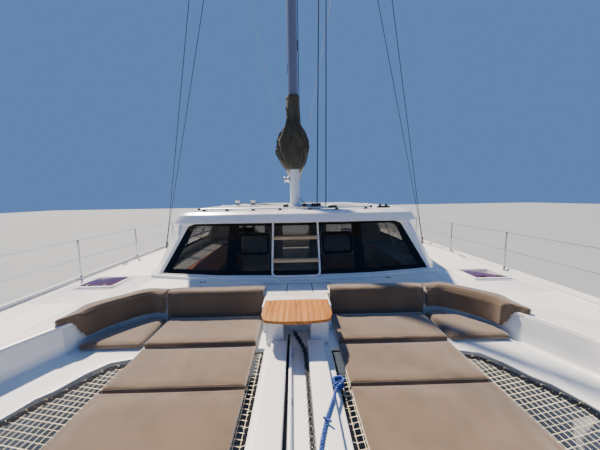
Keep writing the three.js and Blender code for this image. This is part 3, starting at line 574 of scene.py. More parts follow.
pair("nonskid_panels", [
    side_deck(-5.75, -4.95, lambda y: recess_x(y) + 0.1, lambda y: rail_x(y) - 0.14),
    side_deck(-4.87, -2.3, lambda y: recess_x(min(y, -3.05)) + (0.1 if y < -3.0 else 0.22), lambda y: rail_x(y) - 0.16),
    panel([(0.5, -1.64), (1.3, -1.57), (2.36, -1.36), (2.36, -1.86), (0.5, -1.86)], DECK),
    side_deck(-1.16, 1.2, lambda y: house_x(y) + 0.08, lambda y: rail_x(y) - 0.2),
    side_deck(1.28, 3.2, lambda y: house_x(min(y, 2.6)) + 0.08, lambda y: rail_x(y) - 0.2),
    side_deck(3.28, 5.2, lambda y: 2.36, lambda y: rail_x(y) - 0.2),
    panel([(2.42, 5.39), (3.4, 5.39), (3.4, 5.66), (2.42, 5.66)], 1.56),
    panel([(2.46, 5.74), (3.34, 5.74), (3.34, 6.01), (2.46, 6.01)], 1.19),
    panel([(2.5, 6.09), (3.3, 6.09), (3.3, 6.31), (2.5, 6.31)], 0.82),
    panel([(2.56, 6.39), (3.24, 6.39), (3.24, 6.6), (2.56, 6.6)], 0.45),
], nonskid)
piece("cockpit_floor_nonskid", [panel([(-1.2, 2.86), (1.25, 2.86), (1.25, 4.95), (-1.2, 4.95)], 1.15),
                                panel([(-1.8, 5.12), (1.8, 5.12), (1.8, 5.5), (-1.8, 5.5)], 1.56)],
      nonskid)

# Coaming: the rounded lip round the foredeck recess, part of the deck moulding, which turns down
# to the ledge where the nets are laced. It covers the joint between hull and deck.
# Rows: out from the recess's edge, z
COAMING_SECTION = [(0.09, 1.902), (0.05, 1.9035), (0.02, 1.899), (0.0, 1.886), (-0.006, 1.865), (-0.007, 1.7),
                   (-0.008, 1.61), (-0.016, 1.585), (-0.04, 1.5735), (-0.075, 1.5715), (-0.075, 1.568), (0.03, 1.568),
                   (0.09, 1.88)]
coaming_line = [(recess_x(y), y) for y in np.linspace(-5.88, -2.9, 40)]
coaming_rings = []
for i, (x, y) in enumerate(coaming_line):
    before, after = coaming_line[max(i - 1, 0)], coaming_line[min(i + 1, len(coaming_line) - 1)]
    ahead = Vector((after[0] - before[0], after[1] - before[1])).normalized()
    coaming_rings.append([(x + ahead.y * far, y - ahead.x * far, z) for far, z in COAMING_SECTION])
pair("foredeck_coaming", [skin(coaming_rings)], gelcoat, crease=50)

# Deck hatches: a white cast frame bedded on the deck, and a lid of smoked acrylic in a white rim,
# hinged along its aft edge, with two black handles inside the forward edge.
# The opening: low x, high x, low y, high y
HATCH = (2.74, 3.33, -1.8, -1.28)
HATCH_LIP, HATCH_TOP = 1.912, 1.936


def rounded_outline(x_low, x_high, y_low, y_high, corner):
    """The outline of a rectangle with round corners."""
    made = []
    for cx, cy, start in ((x_high - corner, y_high - corner, 0), (x_low + corner, y_high - corner, 1),
                          (x_low + corner, y_low + corner, 2), (x_high - corner, y_low + corner, 3)):
        for a in (math.pi / 2 * (start + i / 6) for i in range(7)):
            made.append((cx + corner * math.cos(a), cy + corner * math.sin(a)))
    return made


def hoop(rings):
    """A closed band: the last ring joins the first."""
    return skin(rings, hooped=True)


def grown(box, by):
    """A rectangle (low x, high x, low y, high y) with its sides moved out."""
    return box[0] - by, box[1] + by, box[2] - by, box[3] + by


def rim(box, width, low, high, corner):
    """A flat frame with round corners between two heights, its upper edges eased by 4 mm."""
    eased = high - 0.004
    return hoop([[(x, y, z) for x, y in rounded_outline(*grown(box, -inset), max(corner - inset, 0.008))]
                 for inset, z in ((0, low), (0, eased), (0.004, high), (width - 0.004, high), (width, eased),
                                  (width, low))])


def about(middle, half):
    """The two ends of a span about its middle."""
    return middle - half, middle + half


def block(x, y, z, ease=0.004, segments=2):
    """A box with its edges rounded."""
    corners = [(a, b, c) for a in x for b in y for c in z]
    faces = [[0, 1, 3, 2], [4, 6, 7, 5], [0, 4, 5, 1], [2, 3, 7, 6], [0, 2, 6, 4], [1, 5, 7, 3]]
    return softened((corners, faces), ease, segments) if ease else (corners, faces)


# Powder-coated aluminium: white, even, with a fine orange peel.
white_powder = clouded_finish("powder_coated_aluminium", "#eceff2", (0.4, "#e4e8ec", "#f0f2f4"), (0.02, 0.32, 0.46),
                              (0.004, 0.0003, 0.4), Roughness=0.38, IOR=1.5)
# Glass-filled nylon, moulded black: fine matt grain that catches a grey sheen on its edges.
black_nylon = clouded_finish("moulded_black_nylon", "#17181a", (0.05, "#131416", "#1f2022"), (0.006, 0.42, 0.6),
                             (0.0012, 0.0002, 0.6), Roughness=0.5, IOR=1.53)
# Violet-smoked acrylic: a glossy violet-tinted sheet, drawn opaque and dark purple as painted shade of the unlit cabin
# below it.
violet_acrylic = clouded_finish("violet_smoked_acrylic", "#551f3b", (0.2, "#3f2440", "#5a3550"), (0.03, 0.05, 0.16),
                                (0.3, 0.0006, 0.15), Roughness=0.08, IOR=1.49, Coat_Weight=0.3)

pair("deck_hatch_frame", [rim(grown(HATCH, 0.02), 0.03, DECK - 0.004, HATCH_LIP, 0.075)], white_powder)
lid_box = grown(HATCH, -0.006)
pane = rounded_outline(*grown(lid_box, -0.03), 0.04)
pair("deck_hatch_pane", [softened(prism(pane, HATCH_LIP + 0.004, HATCH_TOP - 0.003), 0.002)], violet_acrylic,
            "deck_hatch_{side}", ["deck_hatch_{side}"])
pair("deck_hatch_rim", [rim(lid_box, 0.034, HATCH_LIP + 0.0005, HATCH_TOP, 0.06)], white_powder,
     "deck_hatch_{side}")
hatch_fittings = []
for share in (0.28, 0.72):
    x = HATCH[0] + share * (HATCH[1] - HATCH[0])
    hatch_fittings.append(upright([(0, 0.034), (0.004, 0.034), (0.008, 0.028), (0.01, 0.0)], x, HATCH[2] + 0.075,
                                  HATCH_TOP - 0.004, 24))
    hatch_fittings.append(block(about(x, 0.045), (HATCH[2] + 0.066, HATCH[2] + 0.084),
                                (HATCH_TOP + 0.003, HATCH_TOP + 0.014), 0.004))
pair("deck_hatch_handles", hatch_fittings, black_nylon, "deck_hatch_{side}")
pair("deck_hatch_hinges", [block(about(x, 0.035), (HATCH[3] - 0.012, HATCH[3] + 0.014), (DECK, HATCH_TOP - 0.006))
                           for x in (HATCH[0] + 0.13, HATCH[1] - 0.13)], black_nylon)

# Filler caps and drains: polished stainless discs let into the deck, with a keyed slot.
# Polished marine stainless: bright, with fine circular wiping marks.
stainless = clouded_finish("polished_stainless", "#c9ccce", (0.05, "#b9bdc0", "#d6d8da"), (0.01, 0.12, 0.28),
                           (0.02, 0.0002, 0.2), Roughness=0.16, Metallic=1.0)


def deck_cap(x, y):
    disc = upright([(0, 0.045), (0.003, 0.045), (0.005, 0.042), (0.005, 0.02), (0.003, 0.018), (0.003, 0.0)],
                   x, y, DECK)
    return [disc, block(about(x, 0.016), about(y, 0.003), (DECK + 0.002, DECK + 0.0062), 0.001)]


piece("deck_fillers", [part for x, y in ((-1.481, -1.591), (1.48, -1.557), (-3.3, 2.2), (3.3, 2.2), (-3.3, 4.4),
                                         (3.3, 4.4)) for part in deck_cap(x, y)], stainless)

# Locker lids in the foredeck, aft of the table: the moulding's joints show as narrow dark grooves,
# filled with extruded rubber that is dull and nearly black.
dark_rubber = clouded_finish("extruded_epdm_rubber", "#1c1e20", (0.03, "#17191b", "#24272a"), (0.004, 0.6, 0.8),
                             (0.002, 0.0002, 0.5), Roughness=0.7, IOR=1.5)
piece("foredeck_lid_seals", [block(about(x, 0.005), (-2.125, -1.74), (DECK - 0.002, DECK + 0.0028), 0.001)
                             for x in (-0.54, -0.135, 0.229, 0.52)]
      + [block((-0.54, 0.52), (-1.745, -1.736), (DECK - 0.002, DECK + 0.0028), 0.001)], dark_rubber)

# House: white glassfibre walls, moulded with the deck, with a rounded lip along the windscreen's foot.
# The saloon door runs on the aluminium rail across the bulkhead.
# Rows: x and y at the deck, x and y at the roof
HOUSE_PLAN = [(0, -1.57, 0, -1.13), (1.25, -1.5, 1.03, -1.075), (2.37, -1.27, 1.95, -0.9), (2.6, -0.9, 2.2, -0.56),
              (2.7, 0, 2.31, 0.3), (2.75, 2.0, 2.36, 2.0), (2.74, 2.72, 2.35, 2.72)]
ROOF_BASE = 2.82
FRONT_LEAN, SIDE_OUT = 0.47, Vector((0.93, 0, 0.37))
aft_windows = [block((x, x + 0.97), (2.5, 2.9), (1.98, 2.6), 0) for x in (0.98, -1.95)]
piece("house_moulding", [softened(carved(node_part("house_walls", 0.01, 3), aft_windows), 0.001, 1, 60)], gelcoat,
      stands_for=["house_walls"])


def house_outline(z, plan):
    """The xs and the ys of the house's plan at a height, between its foot and its roof."""
    t = (z - DECK) / (ROOF_BASE - DECK)
    return [a + t * (c - a) for a, b, c, d in plan], [b + t * (d - b) for a, b, c, d in plan]


def house_front(x, z, lift):
    """The point of the house's front face at an x and a height, moved out by lift."""
    xs, ys = house_outline(z, HOUSE_PLAN[:4])
    y = between(abs(x), xs, ys)
    slope = (between(abs(x) + 0.01, xs, ys) - y) / 0.01
    side = (x > 1e-6) - (x < -1e-6)
    out = Vector((*Vector((side * slope, -1)).normalized(), FRONT_LEAN)).normalized()
    return Vector((x, y, z)) + out * lift


def house_side(y, z, lift):
    """The point of the house's port side at a y and a height, moved out by lift."""
    xs, ys = house_outline(z, HOUSE_PLAN[3:])
    return Vector((between(y, ys, xs), y, z)) + SIDE_OUT * lift


def sheet_on(surface, corners, steps):
    """A 4 mm plate let into a surface: corners are the plan values, going round, and steps those of its sides."""
    rings = []
    for u in (i / steps[0] for i in range(steps[0] + 1)):
        row = []
        for v in (j / steps[1] for j in range(steps[1] + 1)):
            row.append([(a * (1 - u) + b * u) * (1 - v) + (d * (1 - u) + c * u) * v for a, b, c, d in zip(*corners)])
        rings.append([surface(p, q, -0.003) for p, q in row] + [surface(p, q, -0.007) for p, q in row[::-1]])
    return skin(rings)


lip_line = [(x, y - 0.001) for x, y in [(-2.4, -1.24), (-2.37, -1.27), (-1.25, -1.5), (0, -1.57), (1.25, -1.5),
                                        (2.37, -1.27), (2.4, -1.24)]]
lip_profile = [(0.02, 1.9), (-0.03, 1.9), (-0.034, 1.92), (-0.031, 1.935), (-0.022, 1.945), (-0.005, 1.95),
               (0.02, 1.952)]
piece("windscreen_lip", [skin([[(x, y + out, z) for out, z in lip_profile]
                               for x, y in curve_through(lip_line, 6)])], gelcoat, crease=50)

# Windscreen: one band of grey-tinted safety glass, bonded in, with a black ceramic border fired on.
# The tint is dark, and the saloon behind it shows dimly.
tinted_glass = clouded_finish("grey_tinted_glass", "#0d0f10", (1.2, "#0a0c0d", "#131516"), (0.08, 0.012, 0.04),
                              (1.1, 0.002, 0.12), Roughness=0.02, IOR=1.52, Alpha=0.42, Specular_IOR_Level=0.3)


def glazed(*nodes):
    """CAD panes that keep their shape take the tinted glass."""
    for node in nodes:
        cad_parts[node].data.materials.clear()
        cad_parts[node].data.materials.append(tinted_glass)


glazed("windscreen", "side_glass_port", "side_glass_starboard")
# Ceramic frit: an opaque black enamel, glossy as the glass it is fired on.
black_frit = clouded_finish("fired_ceramic_border", "#060606", (0.5, "#050606", "#0e0f10"), (0.05, 0.08, 0.2),
                            (0.8, 0.001, 0.12), Roughness=0.22, IOR=1.52, Specular_IOR_Level=0.2)


def screen_x(share, z):
    """A place across the windscreen at a height, from -1 to 1."""
    return share * (2.28 + (z - 1.965) / (2.775 - 1.965) * (1.895 - 2.28))


def front_strip(share_a, share_b, z_a, z_b, steps=24):
    corners = [(screen_x(share_a, z_a), z_a), (screen_x(share_b, z_a), z_a), (screen_x(share_b, z_b), z_b),
               (screen_x(share_a, z_b), z_b)]
    return sheet_on(house_front, corners, (steps, 8))


def front_post(x_low, x_high):
    return sheet_on(house_front, [(x_low, 1.97), (x_high, 1.97), (x_high, 2.77), (x_low, 2.77)], (3, 12))


piece("windscreen_border", [
    front_strip(-0.996, 0.996, 1.968, 2.035, 60), front_strip(-0.996, 0.996, 2.735, 2.772, 60),
    front_strip(-0.998, -0.935, 2.03, 2.74, 4), front_strip(0.935, 0.998, 2.03, 2.74, 4),
    front_post(-1.15, -0.975), front_post(0.975, 1.15), front_post(-0.425, -0.385), front_post(0.385, 0.425),
], black_frit)


def side_strip(y_a, y_b, z_a, z_b, steps=24):
    return sheet_on(house_side, [(y_a[0], z_a), (y_b[0], z_a), (y_b[1], z_b), (y_a[1], z_b)], (steps, 5))


pair("side_glass_border", [side_strip((-0.6, -0.58), (2.24, 2.24), 2.085, 2.135, 40),
                           side_strip((-0.37, -0.34), (2.24, 2.24), 2.585, 2.615, 40),
                           side_strip((-0.58, -0.33), (-0.5, -0.25), 2.13, 2.59, 4),
                           side_strip((2.18, 2.18), (2.245, 2.245), 2.13, 2.59, 3),
                           side_strip((0.45, 0.45), (0.53, 0.53), 2.13, 2.59, 3),
                           side_strip((1.36, 1.36), (1.44, 1.44), 2.13, 2.59, 3)], black_frit)

# Aft windows: two fixed panes of the same glass in the bulkhead, one on each side of the door,
# each bonded over a black border.
def drawn_in(outline, distance):
    """A closed outline moved inward, whichever way it runs."""
    count = len(outline)
    area = sum(a[0] * b[1] - b[0] * a[1] for a, b in zip(outline, outline[1:] + outline[:1]))
    made = []
    for i, (x, y) in enumerate(outline):
        before, after = Vector(outline[i - 1]), Vector(outline[(i + 1) % count])
        ahead = (after - before).normalized()
        inward = Vector((-ahead.y, ahead.x)) if area > 0 else Vector((ahead.y, -ahead.x))
        made.append((x + inward.x * distance, y + inward.y * distance))
    return made


aft_rims, aft_panes = [], []
for x in (0.98, -1.95):
    outline = rounded_outline(x - 0.02, x + 0.99, 1.96, 2.62, 0.05)
    inner = [drawn_in(outline, inset) for inset in (0.0, 0.05)]
    aft_rims.append(hoop([[(u, y, v) for u, v in inner[i]]
                          for i, y in ((0, 2.7142), (0, 2.7194), (1, 2.7194), (1, 2.7142))]))
    aft_panes.append(prism(drawn_in(outline, 0.01), 2.7145, 2.7185, "y"))
piece("aft_window_borders", aft_rims, black_frit)
piece("aft_window_panes", aft_panes, tinted_glass)

# Opening sashes: black anodised frames with round corners that hold the glass and swing out on
# friction hinges at their tops. Two latches sit at the foot of each.
# The sash's outline on the glass: low x, high x, low z, high z
SASH = (0.44, 0.97, 2.27, 2.62)
glazed("window_hatch_port", "window_hatch_starboard")
# Black anodised aluminium: satin black, with a faint grey metal sheen.
black_anodised = clouded_finish("black_anodised_aluminium", "#1a1b1d", (0.06, "#151618", "#242629"), (0.008, 0.3, 0.48),
                                (0.002, 0.0001, 0.4), Roughness=0.36, Metallic=0.85)


# Rows: in from the sash's edge, out from the glass
SASH_SECTION = [(0.0, -0.008), (0.0, 0.004), (0.004, 0.009), (0.036, 0.009), (0.042, 0.003), (0.044, -0.008)]
sash_frame = hoop([[house_front(x, z, lift) for x, z in rounded_outline(*grown(SASH, -inset), max(0.06 - inset, 0.015))]
                   for inset, lift in SASH_SECTION])
pair("sash_frame", [sash_frame], black_anodised, "window_hatch_{side}")
latches = []
for x in (0.58, 0.83):
    foot = house_front(x, 2.325, -0.006)
    latches.append(lathed([(0, 0.02), (0.006, 0.02), (0.01, 0.014), (0.012, 0.0)], foot,
                          house_front(x, 2.325, 0.5), 20))
    latches.append(block(about(foot.x, 0.008), (foot.y - 0.02, foot.y - 0.006),
                         (foot.z - 0.01, foot.z + 0.05), 0.003))
pair("sash_latches", latches, black_nylon, "window_hatch_{side}")

# Coachroof: a white moulded roof that overhangs the windscreen, with a flat sloping brow and eased edges.
# The hardtop over the cockpit joins on behind it and stands on two posts.
ROOF_PLAN = [(1.78, -1.56), (1.93, -1.5), (2.28, -0.7), (2.44, 0.3), (2.48, 2.0), (2.48, 2.7), (2.48, 2.745)]
ROOF_REAR = 2.745
roof_corners = ROOF_PLAN + [(-x, y) for x, y in ROOF_PLAN[::-1]]
# Rows: z, how far the roof's outline is drawn in
brow = [(2.8203, 0.024), (2.825, 0.006), (2.832, 0.0), (2.842, 0.003), (2.945, 0.044), (2.957, 0.053), (2.982, 0.094),
        (2.992, 0.112), (3.0, 0.15)]


def roof_ring(z, inset):
    """The roof's outline drawn in at one height. Its rear edge stays upright against the hardtop."""
    inner = [(x, max(y, ROOF_REAR - min(inset, 0.01)) if corner[1] == ROOF_REAR else y)
             for (x, y), corner in zip(drawn_in(roof_corners, inset), roof_corners)]
    return [(x - math.copysign(inset * 0.7, x), y, z) for x, y in round_corners(inner, 0.16, 6)]


piece("coachroof_moulding", [skin([roof_ring(z, inset) for z, inset in brow])],
      gelcoat, stands_for=["coachroof"], crease=16)
piece("hardtop_moulding", [node_part("hardtop", 0.018, 3, 20)], gelcoat, stands_for=["hardtop"])

# Fittings on the coachroof: an anodised track on black feet for the jib's car, turning blocks and
# clutches at the mast's foot, two winches and a pair of smoked skylights.
# Clear anodised aluminium: a satin grey drawn finish with fine lengthways die lines.
anodised, shader = finish_named("satin_anodised_aluminium", "#bfc4c8", Roughness=0.38, Metallic=0.85)
die_lines = mottle(anodised, 0.004, 3, (1, 1, 0.01))
cover(anodised, shader, ramp(anodised, mottle(anodised, 0.5), [(0.3, "#b3b9be"), (0.7, "#cbd0d3")]),
      (die_lines, 0.3, 0.5), die_lines, 0.0002, 0.35)
ROOF_TOP = 3.0
track_line = [(x, -1.2 - 0.06 * math.cos(x / 1.6 * math.pi / 2), ROOF_TOP + 0.045) for x in np.linspace(-1.6, 1.28, 30)]


def ribbon(line, profile, up=(0, 0, 1)):
    """A bar of one cross-section along a line; profile rows are across and up."""
    rings = []
    for i, here in enumerate(line):
        ahead = (Vector(line[min(i + 1, len(line) - 1)]) - Vector(line[max(i - 1, 0)])).normalized()
        across = ahead.cross(Vector(up)).normalized()
        lift = across.cross(ahead)
        rings.append([Vector(here) + across * u + lift * v for u, v in profile])
    return skin(rings)


track_profile = [(-0.018, 0.0), (-0.018, -0.006), (-0.008, -0.01), (-0.008, -0.02), (0.008, -0.02), (0.008, -0.01),
                 (0.018, -0.006), (0.018, 0.0), (0.012, 0.004), (-0.012, 0.004)]
piece("jib_track", [ribbon(track_line, track_profile)], anodised, crease=20)
feet = []
for x in (-1.53, -1.14, -0.7, -0.25, 0.25, 0.7, 1.2):
    y = -1.2 - 0.06 * math.cos(x / 1.6 * math.pi / 2)
    feet += [block(about(x, 0.05), about(y, 0.03), (ROOF_TOP, ROOF_TOP + 0.01), 0.004),
             block(about(x, 0.022), about(y, 0.014), (ROOF_TOP + 0.004, ROOF_TOP + 0.028), 0.004)]
for x in (-1.61, 1.29):
    feet.append(block(about(x, 0.02), (-1.232, -1.185), (ROOF_TOP + 0.018, ROOF_TOP + 0.058), 0.008, 3))
feet.append(block((0.56, 0.7), (-1.285, -1.215), (ROOF_TOP + 0.03, ROOF_TOP + 0.07), 0.01, 3))
piece("jib_track_feet", feet, black_nylon)


def sheave_block(place, radius=0.035, lean=0.0):
    """A turning block: two cheeks and a wheel on a short stand."""
    x, y, z = place
    turn = Matrix.Translation(place) @ Matrix.Rotation(lean, 4, "Z")
    parts = []
    for offset, thick, size in ((-0.014, 0.006, radius), (-0.006, 0.012, radius * 0.8), (0.008, 0.006, radius)):
        points, faces = lathed([(offset, size * 0.9), (offset + 0.002, size), (offset + thick - 0.002, size),
                                (offset + thick, size * 0.9)], (0, 0, 0), (1, 0, 0), 20)
        parts.append(([tuple(turn @ Vector(p)) for p in points], faces))
    parts.append(block(about(x, 0.02), about(y, 0.02), (z - radius - 0.012, z - radius * 0.5), 0.004))
    return parts


MAST_Y = -0.5
blocks = []
for x, y in ((-0.2, -0.62), (-0.16, -0.4), (0.19, -0.68), (0.2, -0.55), (0.2, -0.42), (0.17, -0.3)):
    blocks += sheave_block((x, y, ROOF_TOP + 0.047), 0.036, math.radians(40))
for i, x in enumerate((0.42, 0.48, 0.54, 0.6)):
    blocks.append(block(about(x, 0.022), (0.55, 0.78), (ROOF_TOP, ROOF_TOP + 0.06), 0.01, 3))
    blocks.append(block(about(x, 0.014), (0.5, 0.66), (ROOF_TOP + 0.05, ROOF_TOP + 0.075), 0.006, 3))
blocks.append(block((0.3, 0.48), (-0.36, -0.26), (ROOF_TOP, ROOF_TOP + 0.04), 0.012, 3))
blocks.append(block((1.5, 1.72), (-0.95, -0.87), (ROOF_TOP, ROOF_TOP + 0.035), 0.012, 3))
for x in (1.55, 1.66):
    blocks.append(upright([(0, 0.02), (0.02, 0.024), (0.045, 0.02), (0.05, 0.0)], x, -0.91, ROOF_TOP + 0.02, 16))
piece("mast_foot_blocks", blocks, black_nylon)


# Rows: height, radius
WINCH_PROFILE = [(0, 0.085), (0.012, 0.088), (0.03, 0.08), (0.04, 0.06), (0.06, 0.052), (0.1, 0.052), (0.125, 0.062),
                 (0.14, 0.075), (0.15, 0.075), (0.155, 0.06), (0.16, 0.03), (0.165, 0.02), (0.168, 0.0)]
piece("roof_winches", [upright(WINCH_PROFILE, x, 2.35, ROOF_TOP, 36) for x in (-1.3, -1.78)], stainless)
piece("skylight_rims", [rim((x - 0.3, x + 0.3, 0.5, 0.95), 0.035, ROOF_TOP, ROOF_TOP + 0.03, 0.07)
                        for x in (-1.15, 1.15)], white_powder)
piece("skylight_panes", [softened(prism(rounded_outline(x - 0.268, x + 0.268, 0.532, 0.918, 0.045), ROOF_TOP + 0.006,
                                        ROOF_TOP + 0.024), 0.003) for x in (-1.15, 1.15)], smoked_acrylic)

# Front ladder: a U of white tube bent round at the foot, from the windscreen's lip up to the roof,
# with two teak treads let into white carriers.
LADDER_SIDE = 0.378
LADDER_FOOT, LADDER_HEAD = Vector((0, -1.606, 1.972)), Vector((0, -1.192, 2.8195))
ladder_up = (LADDER_HEAD - LADDER_FOOT).normalized()
bend = 0.07
ladder_half = [LADDER_HEAD + Vector((LADDER_SIDE, 0, 0)), LADDER_FOOT + ladder_up * bend + Vector((LADDER_SIDE, 0, 0))]
for i in range(1, 7):
    a = math.pi / 2 * i / 6
    ladder_half.append(LADDER_FOOT + ladder_up * bend * (1 - math.sin(a))
                       + Vector((LADDER_SIDE - bend * (1 - math.cos(a)), 0, 0)))
ladder_line = ladder_half + [Vector((-p.x, p.y, p.z)) for p in ladder_half[::-1]]
ladder_feet = [block(about(x, 0.02), (-1.606, -1.56), (1.938, 1.958), 0.004) for x in (-0.25, 0.25)]
ladder_feet += [lathed([(0, 0.026), (0.006, 0.026), (0.008, 0.02), (0.01, 0.0)],
                       LADDER_HEAD + Vector((x, 0.0, 0)), LADDER_HEAD + Vector((x, 0, -1)), 16)
                for x in (-LADDER_SIDE, LADDER_SIDE)]
carriers, treads = [], []
for z in (2.215, 2.555):
    y = LADDER_FOOT.y + (z - LADDER_FOOT.z) * ladder_up.y / ladder_up.z
    carriers += [block((-LADDER_SIDE, LADDER_SIDE), (y - 0.055, y + 0.02), (z - 0.018, z - 0.006), 0.004, 3)]
    treads += [block((-LADDER_SIDE + 0.014, LADDER_SIDE - 0.014), (a, b), (z - low, z + 0.013), 0.004)
               for a, b, low in ((y - 0.075, y - 0.043, 0.034), (y - 0.04, y - 0.009, 0.006),
                                 (y - 0.006, y + 0.026, 0.006))]
piece("ladder_tube", [bar(ladder_line, 0.0168, 14)] + ladder_feet + carriers, white_powder,
      stands_for=["front_ladder"])


# Teak, planed and left to weather lightly: pale golden boards with darker straight grain.
# Grain lines 2 to 3 mm apart are drawn about 8 mm apart so that they show.
def teak_finish(name, along, pale, dark, bright="#e0b885"):
    material, shader = finish_named(name, pale, Roughness=0.6, IOR=1.48, Specular_IOR_Level=0.3)
    stretch = {"x": (0.04, 1, 1), "y": (1, 0.04, 1)}[along]
    grain = mottle(material, 0.008, 5, stretch)
    boards = mottle(material, 0.12, 2, stretch)
    both = add(material, "ShaderNodeMix", {"data_type": "FLOAT", 0: 0.4}, {2: grain, 3: boards}).outputs[0]
    return cover(material, shader, ramp(material, both, [(0.3, dark), (0.48, pale), (0.75, bright)]),
                 (grain, 0.45, 0.68), grain, 0.0005, 0.5)


teak = teak_finish("weathered_teak", "x", "#bda787", "#94795a")
piece("ladder_treads", treads, teak)

# Crossbeam: a round anodised tube between the bows, with a cast seat at each end for the bow's pin,
# and a white fairing where the longeron crosses it.
BEAM_Y, BEAM_Z, BEAM_RADIUS = -6.35, 1.48, 0.095
beam_reach = hull_at(BEAM_Y)[0] - 0.003
beam_profile = [(0, 0.0), (0.0, 0.09), (0.02, 0.118), (0.05, 0.118), (0.07, BEAM_RADIUS)]
piece("crossbeam_tube", [lathed(beam_profile + [(2 * beam_reach - far, size) for far, size in beam_profile[::-1]],
                                (-beam_reach, BEAM_Y, BEAM_Z), (beam_reach, BEAM_Y, BEAM_Z), 40)], anodised,
      stands_for=["crossbeam"])
piece("beam_net_rail", [bar([(-beam_reach + 0.05, BEAM_Y + 0.1, BEAM_Z + 0.05),
                             (beam_reach - 0.05, BEAM_Y + 0.1, BEAM_Z + 0.05)], 0.008, 8)], stainless)

# Longeron: the white spine from the bridgedeck to the crossbeam. Two raised bars run each side of the
# anchor chain's channel, and a low flange outside them takes the nets' lacing.
piece("longeron_moulding", [node_part("longeron", 0.012, 3)], gelcoat, stands_for=["longeron"])
# A white tube, clipped down, runs along the channel beside the chain. The black rubber strip at the channel's foot
# beside it is painted shade, a dark band where a deep gap lies in shadow.
channel_tube = [(-0.074, -2.88, 1.6), (-0.071, -3.2, 1.6), (-0.067, -3.6, 1.6), (-0.062, -4.2, 1.6), (-0.06, -5.0, 1.6),
                (-0.06, -6.0, 1.6)]
piece("channel_tube", [bar(curve_through(channel_tube, 5), 0.0145, 16)], white_powder)
piece("channel_tube_clips", [block(about(x, 0.02), about(y, 0.012), (1.5605, 1.592), 0.004)
                             for x, y in ((-0.073, -3.0), (-0.067, -3.6), (-0.062, -4.4), (-0.06, -5.2),
                                          (-0.06, -5.9))], black_nylon)
piece("channel_painted_shade_strip", [block((-0.1094, -0.086), (-6.1, -2.6), (1.5606, 1.574), 0.003)], dark_rubber)

# Nets: cream polyester cord netted into 50 mm squares, with a navy webbing hem that is laced to the
# ledge, the bridgedeck, the crossbeam and the longeron. The cord is laid taut and level.
NET_Z, MESH_SIZE, NET_SWEEP = 1.5435, 0.05, math.tan(math.radians(11))
NET_INNER, NET_FRONT = 0.3745, -6.205
net_edge = [(NET_INNER, -2.9), (1.6, -2.985), (1.88, -3.08), (2.085, -3.42), (2.16, -3.52)]
net_edge += [(hull_at(y)[0] - 0.028, y) for y in np.linspace(-3.72, -6.12, 14)]
net_edge += [(2.66, NET_FRONT), (NET_INNER, NET_FRONT)]


def crossings(start, direction, outline):
    """Where a line enters and leaves a flat outline, as distances along it."""
    found = []
    for (ax, ay), (bx, by) in zip(outline, outline[1:] + outline[:1]):
        ex, ey = bx - ax, by - ay
        turn = direction[0] * ey - direction[1] * ex
        if abs(turn) < 1e-9:
            continue
        along = ((ax - start[0]) * ey - (ay - start[1]) * ex) / turn
        share = ((ax - start[0]) * direction[1] - (ay - start[1]) * direction[0]) / turn
        if 0 <= share < 1:
            found.append(along)
    return (min(found), max(found)) if len(found) > 1 else None


def inside_net(x, y):
    reach = crossings((x, 0.0), (0.0, 1.0), net_edge)
    return bool(reach) and reach[0] < y < reach[1]


threads, knots = [], []
columns = [NET_INNER + MESH_SIZE * (i + 0.42) for i in range(47)]
for x in columns:
    reach = crossings((x, 0.0), (0.0, 1.0), net_edge)
    if reach:
        threads.append(bar([(x, reach[0], NET_Z), (x, reach[1], NET_Z)], 0.0027, 6))
for row in range(-3, 77):
    y_start = -6.24 - NET_SWEEP * 0.37 + MESH_SIZE * row
    reach = crossings((0.0, y_start), (1.0, NET_SWEEP), net_edge)
    if not reach:
        continue
    threads.append(bar([(s, y_start + NET_SWEEP * s, NET_Z) for s in reach], 0.0027, 6))
    for x in columns:
        y = y_start + NET_SWEEP * x
        if reach[0] + 0.01 < x < reach[1] - 0.01 and inside_net(x, y):
            knots.append(([(x - 0.007, y, NET_Z), (x, y - 0.007, NET_Z), (x + 0.007, y, NET_Z), (x, y + 0.007, NET_Z),
                           (x, y, NET_Z + 0.0045), (x, y, NET_Z - 0.0045)],
                          [[0, 1, 4], [1, 2, 4], [2, 3, 4], [3, 0, 4], [1, 0, 5], [2, 1, 5], [3, 2, 5], [0, 3, 5]]))
# Polyester cord: cream, matt, a little furred by the sun.
net_cord = clouded_finish("cream_polyester_cord", "#ece3c6", (0.15, "#e0d6b6", "#f3ecd4"), (0.01, 0.7, 0.9),
                          (0.002, 0.0004, 0.6), Roughness=0.8, IOR=1.5)
pair("net_mesh", threads + knots, net_cord, stands_for=["net_{side}"], crease=60)
